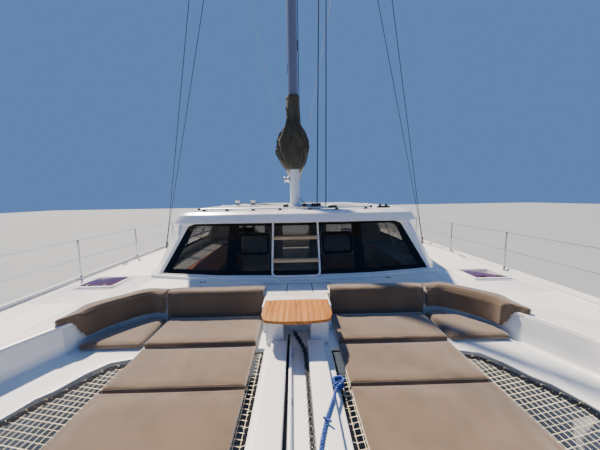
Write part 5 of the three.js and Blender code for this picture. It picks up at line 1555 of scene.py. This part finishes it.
# Spreaders: extruded aerofoils in the mast's paint, pinned into sockets on the mast and clamped to
# the cap shroud at their tips, which they hold out from the mast.
SPREADER_Z = 9.3
spread = Vector((1.88, 0.92, 0)).normalized()
spread_start, spread_end = Vector((0, MAST_Y, SPREADER_Z)) + spread * 0.105, Vector((1.88, 0.42, SPREADER_Z))
spread_rings = []
for share in (0.0, 0.02, 0.98, 1.0):
    middle = spread_start.lerp(spread_end, share)
    half = (0.045 + (0.028 - 0.045) * share) * (0.9 if share in (0.0, 1.0) else 0.985)
    across = Vector((-spread.y, spread.x, 0))
    spread_rings.append([middle + across * half * math.cos(a) + Vector((0, 0, 0.62 * half * math.sin(a)))
                         for a in turns(20)])
pair("spreader_foil", [skin(spread_rings)], mast_paint, stands_for=["spreader_{side}"])

# Shrouds: cap and lower wires of stainless strand on each side, each with a bottle screw over its
# chainplate. They carry the mast and are kept taut.
ELBOW = (1.888, 0.428, SPREADER_Z)
# 1 x 19 stainless strand, drawn dull dark grey as painted shade of wires standing against the sun, with a soft grey
# sheen.
strand, shader = finish_named("painted_shade_steel_strand", "#4c4f55", Roughness=0.45, Metallic=0.6)
cover(strand, shader, ramp(strand, mottle(strand, 0.02, 3), [(0.3, "#3c3f45"), (0.7, "#5d6067")]),
      (mottle(strand, 0.01), 0.38, 0.55), mottle(strand, 0.004), 0.0004, 0.5)


def stay(low, high, wire=0.0085):
    """A wire with its bottle screw and toggle at the lower end and a pressed terminal at the upper."""
    low, high = Vector(low), Vector(high)
    along, far = (high - low).normalized(), (high - low).length
    screw = lathed([(0, 0.009), (0.03, 0.011), (0.05, 0.0085), (0.11, 0.0085), (0.115, 0.0145), (0.28, 0.0145),
                    (0.285, 0.0085), (0.33, 0.0085), (0.335, 0.012), (0.42, 0.011), (0.43, wire)], low, high, 14)
    return [screw, bar([low + along * 0.4, high], wire, 8), bar([high - along * 0.14, high], wire * 1.7, 10)]


outer_plate = softened(prism(round_corners([(1.355, 1.9003), (1.445, 1.9003), (1.43, 2.079), (1.37, 2.079)], 0.02),
                             3.5225, 3.5375, "x"), 0.002)
pair("cap_shroud", [outer_plate, block((3.48, 3.58), (1.34, 1.46), (DECK + 0.0003, DECK + 0.008), 0.003)]
     + stay((3.53, 1.4, 2.05), ELBOW), strand, stands_for=["shroud_{side}"])
upper_low, upper_high = Vector((ELBOW[0] - 0.0006, ELBOW[1], 9.302)), Vector((0.075, -0.48, 17.5))
pair("cap_shroud_upper", [bar([upper_low, upper_low.lerp(upper_high, 0.996)], 0.0072, 8),
                          bar([upper_low.lerp(upper_high, 0.98), upper_low.lerp(upper_high, 0.995)], 0.0115, 10)],
     strand, stands_for=["shroud_upper_{side}"])
pair("lower_shroud", [block((3.478, 3.492), (1.24, 1.31), (DECK + 0.0003, 2.07), 0.005)]
     + stay((3.485, 1.275, 2.04), (0.097, -0.47, 13.48), 0.0075), strand)

# Furled headsail: woven sailcloth wound round its foil, its sun-faded edge strip spiralling up over it,
# on a black furling drum. The tack swivel's fork stands on a steel saddle over the crossbeam.
sailcloth, shader = finish_named("faded_sail_edge_cloth", "#7d7565", Roughness=0.82, IOR=1.46, Sheen_Weight=0.15)
cover(sailcloth, shader, ramp(sailcloth, mottle(sailcloth, 0.3, 4, (1, 1, 0.2)), [(0.3, "#6b6456"), (0.7, "#8d8573")]),
      (mottle(sailcloth, 0.01), 0.75, 0.9), mottle(sailcloth, 0.02, 4, (1, 1, 0.15)), 0.003, 0.6)
stay_foot, stay_top = Vector((0, -6.35, 1.69)), Vector((0, -0.66, 17.5))
stay_along = (stay_top - stay_foot).normalized()
stay_u = Vector((1, 0, 0))
stay_v = stay_along.cross(stay_u)
roll_rows = [(0.34, 0.03), (0.7, 0.045), (3.2, 0.099), (8.0, 0.087), (13.5, 0.049), (15.2, 0.026), (15.35, 0.012)]
roll_rings = []
for far in np.linspace(0.36, 15.35, 150):
    size = between(far, *zip(*roll_rows))
    ring = []
    for a in turns(24):
        wrap = (a / (2 * math.pi) + far / 1.35) % 1.0
        ring.append(stay_foot + stay_along * (far + 0.03 * math.sin(a)) + (stay_u * math.cos(a) + stay_v * math.sin(a))
                    * size * (0.93 + 0.07 * wrap))
    roll_rings.append(ring)
piece("headsail_roll", [skin(roll_rings)], sailcloth, stands_for=["furled_headsail"], crease=50)
piece("furling_drum", [lathed([(0.06, 0.018), (0.2, 0.018), (0.21, 0.03), (0.235, 0.083), (0.245, 0.085), (0.252, 0.06),
                               (0.318, 0.06), (0.325, 0.085), (0.335, 0.083), (0.345, 0.034), (0.4, 0.03)], stay_foot,
                              stay_top, 32)], black_nylon)
piece("headstay", [bar([stay_foot, stay_foot + stay_along * 0.24], 0.012, 10),
                   bar([stay_foot + stay_along * 15.3, stay_top - stay_along * 0.01], 0.009, 10),
                   block((-0.148, 0.148), (-6.403, -6.297), (1.6604, 1.672), 0.004),
                   block((-0.03, -0.02), (-6.38, -6.32), (1.668, 1.735), 0.003),
                   block((0.02, 0.03), (-6.38, -6.32), (1.668, 1.735), 0.003),
                   bar([(-0.036, -6.35, 1.712), (0.036, -6.35, 1.712)], 0.008, 12)], stainless)

# Boom: a flat-sided extrusion in the mast's paint, closed by black end castings. Its steel gooseneck
# pin turns in the mast's bracket, and the sheet and reefing blocks hang beneath it.
# The boom lies below 3.85 m, so all of it takes the mast paint's pale painted reflection.
piece("boom_extrusion", [node_part("boom", 0.007, 3)], mast_paint, "boom", ["boom"])
ends = [softened(prism([(-0.081, 3.53), (-0.052, 3.479), (0.052, 3.479), (0.081, 3.53), (0.081, 3.66), (0.052, 3.7),
                        (-0.052, 3.7), (-0.081, 3.66)], y, y + 0.035, "y"), 0.004) for y in (-0.226, 5.118)]
for y in (0.9, 2.9, 4.6):
    ends += [block((-0.02, 0.02), about(y, 0.04), (3.466, 3.482), 0.004)]
    ends += sheave_block((0, y, 3.435), 0.032)
piece("boom_end_castings", ends, black_nylon, "boom")
reef_lines = [bar([(side * 0.086, -0.14, 3.6), (side * 0.09, 1.4, 3.585), (side * 0.09, 3.4, 3.59),
                   (side * 0.086, 5.1, 3.62)], 0.005, 8) for side in (-1, 1)]
piece("boom_reefing_lines", reef_lines, sailcloth, "boom")

# Sail bag: acrylic canvas laced along the boom, holding the dropped mainsail. It is stuffed and sags
# between its webbing straps, with a zip along the top.
def canvas_finish(name, pale, dark):
    material, shader = finish_named(name, pale, Roughness=0.86, IOR=1.46, Sheen_Weight=0.2)
    threads = mottle(material, 0.004, 3)
    return cover(material, shader, ramp(material, mottle(material, 0.25, 4), [(0.3, dark), (0.7, pale)]),
                 (threads, 0.78, 0.94), threads, 0.0006, 0.6)


# One canvas in lit and shaded copies: the bag's tan is lightened as painted sunlight, the flap's dark olive is painted
# shade.
bag_canvas = canvas_finish("painted_sunlight_bag_canvas", "#a99a7e", "#8f8168")
shaded_flap_canvas = canvas_finish("painted_shade_bag_canvas", "#434238", "#2f2f28")
# Rows: y, half width at the base, at the belly, belly z, half width at the top, top z
BAG_ROWS = [(0.07, 0.093, 0.232, 4.08, 0.05, 4.645), (1.2, 0.108, 0.222, 4.08, 0.06, 4.555),
            (3.2, 0.108, 0.187, 4.0, 0.055, 4.325), (5.05, 0.088, 0.118, 3.88, 0.04, 4.055)]
bag_rings = []
for number, row in enumerate(curve_through(BAG_ROWS, 26)):
    y, base, belly, belly_z, top, top_z = (float(v) for v in row)
    half = curve_through([(base, 3.7006), (belly * 0.9, belly_z - 0.2), (belly, belly_z),
                          (belly * 0.72, belly_z + 0.5 * (top_z - belly_z)), (top, top_z - 0.01)], 6)
    strap = 0.5 - 0.5 * math.cos(2 * math.pi * (y - 0.07) / 0.83)
    ring = []
    for side, rows in ((1, half), (-1, half[::-1])):
        for x, z in rows:
            free = math.sin(math.pi * min(max((z - 3.7) / (top_z - 3.7), 0), 1))
            fold = 0.013 * free * noise.noise(Vector((y * 7 + z * 3, z * 2.2 - y * 2, side)))
            ring.append((side * (x - 0.016 * free * (1 - strap)) + fold, y, z - 0.01 * free * strap))
    bag_rings.append(ring)
bag_form = skin(bag_rings)
bag_surface = BVHTree.FromPolygons([Vector(p) for p in bag_form[0]], bag_form[1])
bag_seams = [seam_on(bag_surface, [(side * 0.26, y, 4.08 - 0.035 * y) for y in np.linspace(0.1, 5.0, 60)], 0.004)
             for side in (-1, 1)]
bag_seams += [seam_on(bag_surface, [(side * 0.3, y, z) for z in np.linspace(3.72, 4.5 - 0.09 * y, 16)], 0.007)
              for side in (-1, 1) for y in (0.9, 1.73, 2.56, 3.39, 4.22)]
bag_seams.append(seam_on(bag_surface, [(0, y, 4.9) for y in np.linspace(0.12, 5.0, 50)], 0.008))
stowed_bag = piece("stowed_sail_bag", [bag_form] + bag_seams, bag_canvas, "boom", ["sail_bag"], crease=60)

# Bag flap: the bag's front panel, zipped round the mast over the sail's luff and strapped at the neck.
# Its rings run round a middle a little forward of the mast's. Rows: z, left x, right x, front y
FLAP_Y = -0.56
FLAP_ROWS = [(3.742, -0.165, 0.145, -0.70), (3.86, -0.26, 0.215, -0.735), (4.06, -0.345, 0.28, -0.758),
             (4.31, -0.3, 0.258, -0.768), (4.5, -0.19, 0.165, -0.74), (4.62, -0.148, 0.128, -0.714),
             (4.85, -0.134, 0.124, -0.7), (5.06, -0.124, 0.118, -0.69), (5.079, -0.115, 0.11, -0.68)]
flap_rings = []
for z, left, right, front in (tuple(float(v) for v in row) for row in curve_through(FLAP_ROWS, 7)):
    ring, loose = [], between(z, [3.74, 4.1, 4.6, 5.08], [0.6, 1.0, 0.75, 0.25])
    for a in turns(96):
        wide, deep = (right if math.cos(a) > 0 else -left), (FLAP_Y - front if math.sin(a) > 0 else 0.085)
        x, y = wide * math.copysign(abs(math.cos(a)) ** 0.8, math.cos(a)), FLAP_Y - deep * math.sin(a)
        ripple = noise.noise(Vector((5.5 * math.cos(a), 5.5 * math.sin(a), z * 1.6)))
        broad = noise.noise(Vector((2.2 * math.cos(a) + 7, 2.2 * math.sin(a), z * 2.6)))
        pleat = 1 - 2 * abs(math.sin(5.5 * a + 2.6 * math.sin(2.1 * z + 0.6) + 3.5 * ripple)) ** 0.7
        pull = 1 + loose * (0.12 * ripple + 0.14 * broad + 0.085 * pleat)
        ring.append((x * pull, FLAP_Y + (y - FLAP_Y) * pull, z + 0.012 * ripple))
    flap_rings.append(ring)
flap_form = skin(flap_rings)
flap_surface = BVHTree.FromPolygons([Vector(p) for p in flap_form[0]], flap_form[1])


def around_mast(z_left, z_right):
    """A line round the front of the flap, from one side to the other."""
    return [(-0.5 * math.cos(a), FLAP_Y - 0.5 * math.sin(a), z_left + (z_right - z_left) * (1 - math.cos(a)) / 2)
            for a in np.linspace(-0.25, math.pi + 0.25, 60)]


flap_seams = [seam_on(flap_surface, around_mast(z, z), 0.0035) for z in (3.765, 5.055)]
flap_seams.append(seam_on(flap_surface, [(0.02, -1.0, z) for z in np.linspace(3.76, 5.05, 60)], 0.005))
# The flap takes the dark copy of the canvas, which is painted shade.
mast_flap = piece("mast_bag_flap", [flap_form] + flap_seams, shaded_flap_canvas, stands_for=["bag_flap"],
                  crease=70)
straps = [seam_on(flap_surface, around_mast(4.68, 4.66), 0.008), seam_on(flap_surface, around_mast(4.9, 4.02), 0.005)]
piece("flap_straps", straps, black_nylon)

# Running lines: braided polyester. Lazy jacks hang from the spreaders to the bag, two halyards stand
# beside the mast, and more lie along the roof to the organiser and winches.
def braided(name, colour, dark, light):
    """Braided polyester: plaits that part light and dark, with a dull fibrous surface."""
    material, shader = finish_named(name, colour, Roughness=0.7, IOR=1.5)
    return cover(material, shader, ramp(material, mottle(material, 0.01, 2), [(0.35, dark), (0.7, light)]),
                 (mottle(material, 0.004), 0.6, 0.82), mottle(material, 0.003), 0.0004, 0.6)


dark_line = braided("dark_braided_line", "#26242a", "#17161b", "#46434c")
pale_line = braided("pale_braided_line", "#b9b6ad", "#8f8c84", "#cfccc3")
for name, high, low in (("lazy_jack_port", (1.2, 0.09, 9.28), (0.24, 0.55, 4.2)),
                        ("lazy_jack_starboard", (-1.26, 0.11, 9.28), (-0.24, 0.55, 4.2))):
    jack = [tuple(Vector(high).lerp(Vector(low), t)) for t in np.linspace(0, 1, 25)]
    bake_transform(piece(name, [bar(jack, 0.0042, 8)], pale_line, None))
halyards = [bar([(0.454, -0.3, 3.03), (0.56, -0.228, 9.28)], 0.011, 10),
            bar([(0.636, -0.3, 3.03), (0.686, -0.166, 9.28)], 0.011, 10)]
for x in (0.454, 0.636):
    halyards.append(bar([(x, -0.3, 3.035), (x + 0.05, 0.1, 3.03), (x + 0.02, 0.5, 3.05)], 0.006, 8))
for i, x in enumerate((0.42, 0.48, 0.54, 0.6)):
    run = curve_through([(x, 0.75, 3.045), (x * 0.4, 1.2, 3.012), (-0.6 - 0.1 * i, 1.9, 3.012),
                         (-1.2 - 0.16 * i, 2.36, 3.07)], 8)
    halyards.append(bar(run, 0.0052, 8))
halyards.append(bar(curve_through([(0.09, -0.62, 3.2), (0.3, -0.9, 3.012), (0.66, -1.2, 3.05)], 8), 0.006, 8))
piece("halyards", halyards, dark_line)
traveller = [ribbon([(-1.3, 4.9, 3.01), (1.3, 4.9, 3.01)], track_profile)]
traveller += [block(about(x, 0.05), (4.87, 4.93), (2.98, 2.999), 0.004) for x in (-1.2, -0.6, 0, 0.6, 1.2)]
piece("mainsheet_track", traveller, anodised, crease=20)
piece("mainsheet_car", [block((-0.07, 0.07), (4.86, 4.94), (3.006, 3.04), 0.01, 3)]
      + sheave_block((0, 4.9, 3.075), 0.034), black_nylon)

# Saloon furniture: plywood faced with warm cherry veneer, lacquered satin, under pale worktops. The
# settee carries loose cushions, and grooves part the locker doors.
veneer, shader = finish_named("cherry_veneer", "#c37a4b", Roughness=0.42, IOR=1.5, Coat_Weight=0.25, Coat_Roughness=0.2)
veneer_grain = mottle(veneer, 0.02, 5, (0.1, 0.1, 1))
cover(veneer, shader, ramp(veneer, veneer_grain, [(0.3, "#a5613a"), (0.55, "#c67f52"), (0.8, "#dca077")]),
      (veneer_grain, 0.36, 0.5), veneer_grain, 0.0002, 0.4)
worktop, shader = finish_named("warm_worktop", "#dd9a78", Roughness=0.3, IOR=1.5)
cover(worktop, shader, ramp(worktop, mottle(worktop, 0.03, 6), [(0.35, "#d28d6a"), (0.65, "#e6a88a")]),
      (mottle(worktop, 0.1), 0.24, 0.38), mottle(worktop, 0.01), 0.0001, 0.3)
FLOOR_TOP = 1.1503
furniture = [block((0.2, 2.14), (-1.4497, -0.8), (FLOOR_TOP, 1.48), 0.01, 3),
             block((1.55, 2.14), (-0.9, 0.9), (FLOOR_TOP, 1.48), 0.01, 3),
             block((2.06, 2.14), (-0.9, 0.9), (1.47, 1.8), 0.012, 3),
             block((-2.14, -1.53), (-1.4497, 1.68), (FLOOR_TOP, 1.82), 0.008, 3),
             block((-1.6, 0.23), (-1.4497, -1.02), (FLOOR_TOP, 1.82), 0.008, 3)]
for y in (-0.9, -0.45, 0.0, 0.45, 0.9, 1.35):
    furniture.append(block((-1.534, -1.518), about(y, 0.2), (1.24, 1.76), 0.005))
for x in (-1.3, -0.85, -0.4, 0.03):
    furniture.append(block(about(x, 0.19), (-1.026, -1.01), (1.24, 1.76), 0.005))
piece("furniture_lockers", furniture, veneer, stands_for=["saloon_furniture"])
piece("furniture_worktops", [block((-2.48, -1.5), (-0.99, 1.7), (1.819, 1.85), 0.008, 3),
                             block((2.1, 2.48), (-0.95, 1.6), (1.819, 1.85), 0.008, 3),
                             block((-2.1, 0.25), (-1.4497, -1.0), (1.819, 1.85), 0.008, 3)], worktop)


def plump(x, y, z, crown=0.014):
    """A loose cushion: a rounded block that rises to its middle and draws in along its sides."""
    cells = finely_cut(block(x, y, z, min(0.035, (z[1] - z[0]) * 0.42), 3), 0.06)
    points = []
    for p in cells[0]:
        u, v = ((2 * c - a - b) / (b - a) for c, (a, b) in ((p.x, x), (p.y, y)))
        lift = crown * max(1 - u ** 4, 0) * max(1 - v ** 4, 0) if p.z > (z[0] + z[1]) / 2 else 0
        draw = 0.006 * (math.cos(math.pi * u) * abs(v) ** 6 + math.cos(math.pi * v) * abs(u) ** 6)
        points.append(Vector((p.x - draw * u, p.y - draw * v, p.z + lift + 0.003 * noise.noise(p * 6))))
    return points, cells[1]


upholstery = canvas_finish("cream_upholstery", "#cfc3b1", "#bcae99")
for name, where in (("settee_cushion_front", ((0.22, 1.53), (-1.43, -0.82), (1.48, 1.585))),
                    ("settee_cushion_side", ((1.56, 2.04), (-0.79, 0.88), (1.48, 1.585))),
                    ("settee_back_side", ((1.99, 2.062), (-0.79, 0.88), (1.6, 1.835)))):
    piece(name, [plump(*where)], upholstery, crease=60)
table_rounds = [softened(prism(rounded_outline(0.55, 1.45, -0.7, 0.3, 0.12), 1.8, 1.84), 0.008, 3)]
table_rounds.append(lathed([(0, 0.16), (0.01, 0.16), (0.02, 0.06), (0.64, 0.055), (0.65, 0.11)],
                           (1.0, -0.2, FLOOR_TOP), (1.0, -0.2, 3)))
piece("saloon_table_top", table_rounds, veneer, stands_for=["saloon_table"])
door_pane = prism([(-0.44, 1.19), (0.44, 1.19), (0.44, 2.655), (-0.44, 2.655)], 2.7322, 2.7478, "y")
piece("saloon_door_pane", [softened(door_pane, 0.002)], tinted_glass, "saloon_door", ["saloon_door"])
door_rails = [block(x, (2.7256, 2.7544), z, 0.004)
              for x, z in (((-0.47, 0.47), (1.1555, 1.2)), ((-0.47, 0.47), (2.645, 2.689)),
                           ((-0.47, -0.43), (1.16, 2.68)), ((0.43, 0.47), (1.16, 2.68)))]
piece("saloon_door_frame", door_rails, anodised, "saloon_door")

# Cockpit: a teak table on a cast leg, loose cushions on the moulded bench and helm seat, and the helm
# console with its screen, compass and throttle under the hardtop.
cockpit_top = boards([(0.45, 3.5), (1.25, 3.5), (1.25, 4.5), (0.45, 4.5)], 1.8, 1.84, [0.1] * 8)
piece("cockpit_table_top", cockpit_top, table_teak, stands_for=["cockpit_table"])
table_foot = [(0, 0.15), (0.012, 0.15), (0.022, 0.06), (0.62, 0.055), (0.635, 0.12), (0.652, 0.12)]
piece("cockpit_table_leg", [lathed(table_foot, (0.85, 4.0, FLOOR_TOP), (0.85, 4, 3))], anodised)
for name, where in (("bench_cushion", ((1.36, 2.03), (3.26, 4.69), (1.5605, 1.65))),
                    ("helm_seat_cushion", ((-2.04, -1.36), (3.66, 4.09), (1.9005, 1.96))),
                    ("aft_seat_cushion_port", ((0.02, 1.88), (5.07, 5.58), (1.5605, 1.64))),
                    ("aft_seat_cushion_starboard", ((-1.88, -0.02), (5.07, 5.58), (1.5605, 1.64)))):
    piece(name, [plump(*where)], cushion_fabric, crease=60)
console_fittings = [block((-1.98, -1.62), (2.9, 2.932), (2.1, 2.24), 0.008, 3),
                    block((-1.46, -1.4), (2.86, 2.94), (2.2, 2.28), 0.01, 3),
                    bar([(-1.43, 2.93, 2.25), (-1.43, 2.98, 2.33), (-1.43, 2.99, 2.38)], [0.01, 0.009, 0.016], 12),
                    upright([(0, 0.07), (0.02, 0.07), (0.03, 0.055), (0.06, 0.04), (0.07, 0.0)],
                            -1.7, 2.83, 2.26, 24)]
piece("helm_instruments", console_fittings, black_nylon)
piece("helm_screen", [softened(prism(rounded_outline(-1.96, -1.64, 2.115, 2.225, 0.01), 2.93, 2.936, "y"), 0.001)],
      smoked_acrylic)

# Steering wheel: a welded stainless ring on five spokes, the ring covered in stitched leather. The
# leather is a matt grey hide, worn smoother in places, with close stitches round its inside.
WHEEL_AT, WHEEL_RADIUS, GRIP_RADIUS = Vector((-1.7, 3.01, 2.05)), 0.38, 0.0155
leather = clouded_finish("stitched_grey_leather", "#3c3d40", (0.04, "#323336", "#484a4e"), (0.006, 0.5, 0.7),
                         (0.0022, 0.0003, 0.6), Roughness=0.6, IOR=1.5)
ring_rows = [[WHEEL_AT + Vector(((WHEEL_RADIUS + GRIP_RADIUS * math.cos(b)) * math.sin(a), GRIP_RADIUS * math.sin(b),
                                 (WHEEL_RADIUS + GRIP_RADIUS * math.cos(b)) * math.cos(a))) for b in turns(14)]
             for a in turns(72)]
stitch_rows = [bar([WHEEL_AT + Vector((0.3655 * math.sin(a + t), 0.002 * (-1) ** n, 0.3655 * math.cos(a + t)))
                    for n, t in enumerate((0.0, 0.012, 0.024))], 0.0012, 5) for a in turns(90)]
piece("wheel_ring", [hoop(ring_rows)] + stitch_rows, leather, "wheel", ["steering_wheel"])
wheel_metal = [lathed([(0, 0.03), (0.004, 0.032), (0.1, 0.032), (0.108, 0.026), (0.114, 0.012), (0.1145, 0.0)],
                      (-1.7, 2.9206, 2.05), (-1.7, 3.1, 2.05), 32)]
for a in turns(5):
    out = Vector((math.sin(a), 0, math.cos(a)))
    wheel_metal.append(bar([WHEEL_AT + out * 0.02, WHEEL_AT + out * 0.2 + Vector((0, -0.004, 0)),
                            WHEEL_AT + out * 0.368], [0.011, 0.0088, 0.0088], 12, 0.7))
piece("wheel_spokes", wheel_metal, stainless, "wheel")

# Stage: a plain pale floor at the waterline, a high sun softened by haze, and a pale sky. The floor is
# a matt coat of paint with a faint cloud in it.
floor_mesh = bpy.data.meshes.new("studio_floor")
floor_mesh.from_pydata([(-90, -90, 0), (90, -90, 0), (90, 90, 0), (-90, 90, 0)], [], [[0, 1, 2, 3]])
studio_floor = bpy.data.objects.new("studio_floor", floor_mesh)
bpy.context.collection.objects.link(studio_floor)
floor_finish, shader = finish_named("pale_floor", "#939ba2", Roughness=0.8)
cover(floor_finish, shader, ramp(floor_finish, mottle(floor_finish, 6.0), [(0.3, "#90989f"), (0.7, "#969ea5")]))
floor_mesh.materials.append(floor_finish)

sun = bpy.data.objects.new("sun", bpy.data.lights.new("sun", "SUN"))
sun.data.energy = 10.0
sun.data.angle = math.radians(2.5)
sun.data.color = linear("#ffecd2")[:3]
sun.rotation_euler = Vector((0.42, -0.52, -1.0)).to_track_quat("-Z", "Y").to_euler()
bpy.context.collection.objects.link(sun)
world = bpy.data.worlds.new("pale_sky")
world.use_nodes = True
world.node_tree.nodes["Background"].inputs["Color"].default_value = linear("#78a6ee")
world.node_tree.nodes["Background"].inputs["Strength"].default_value = 0.6
bpy.context.scene.world = world
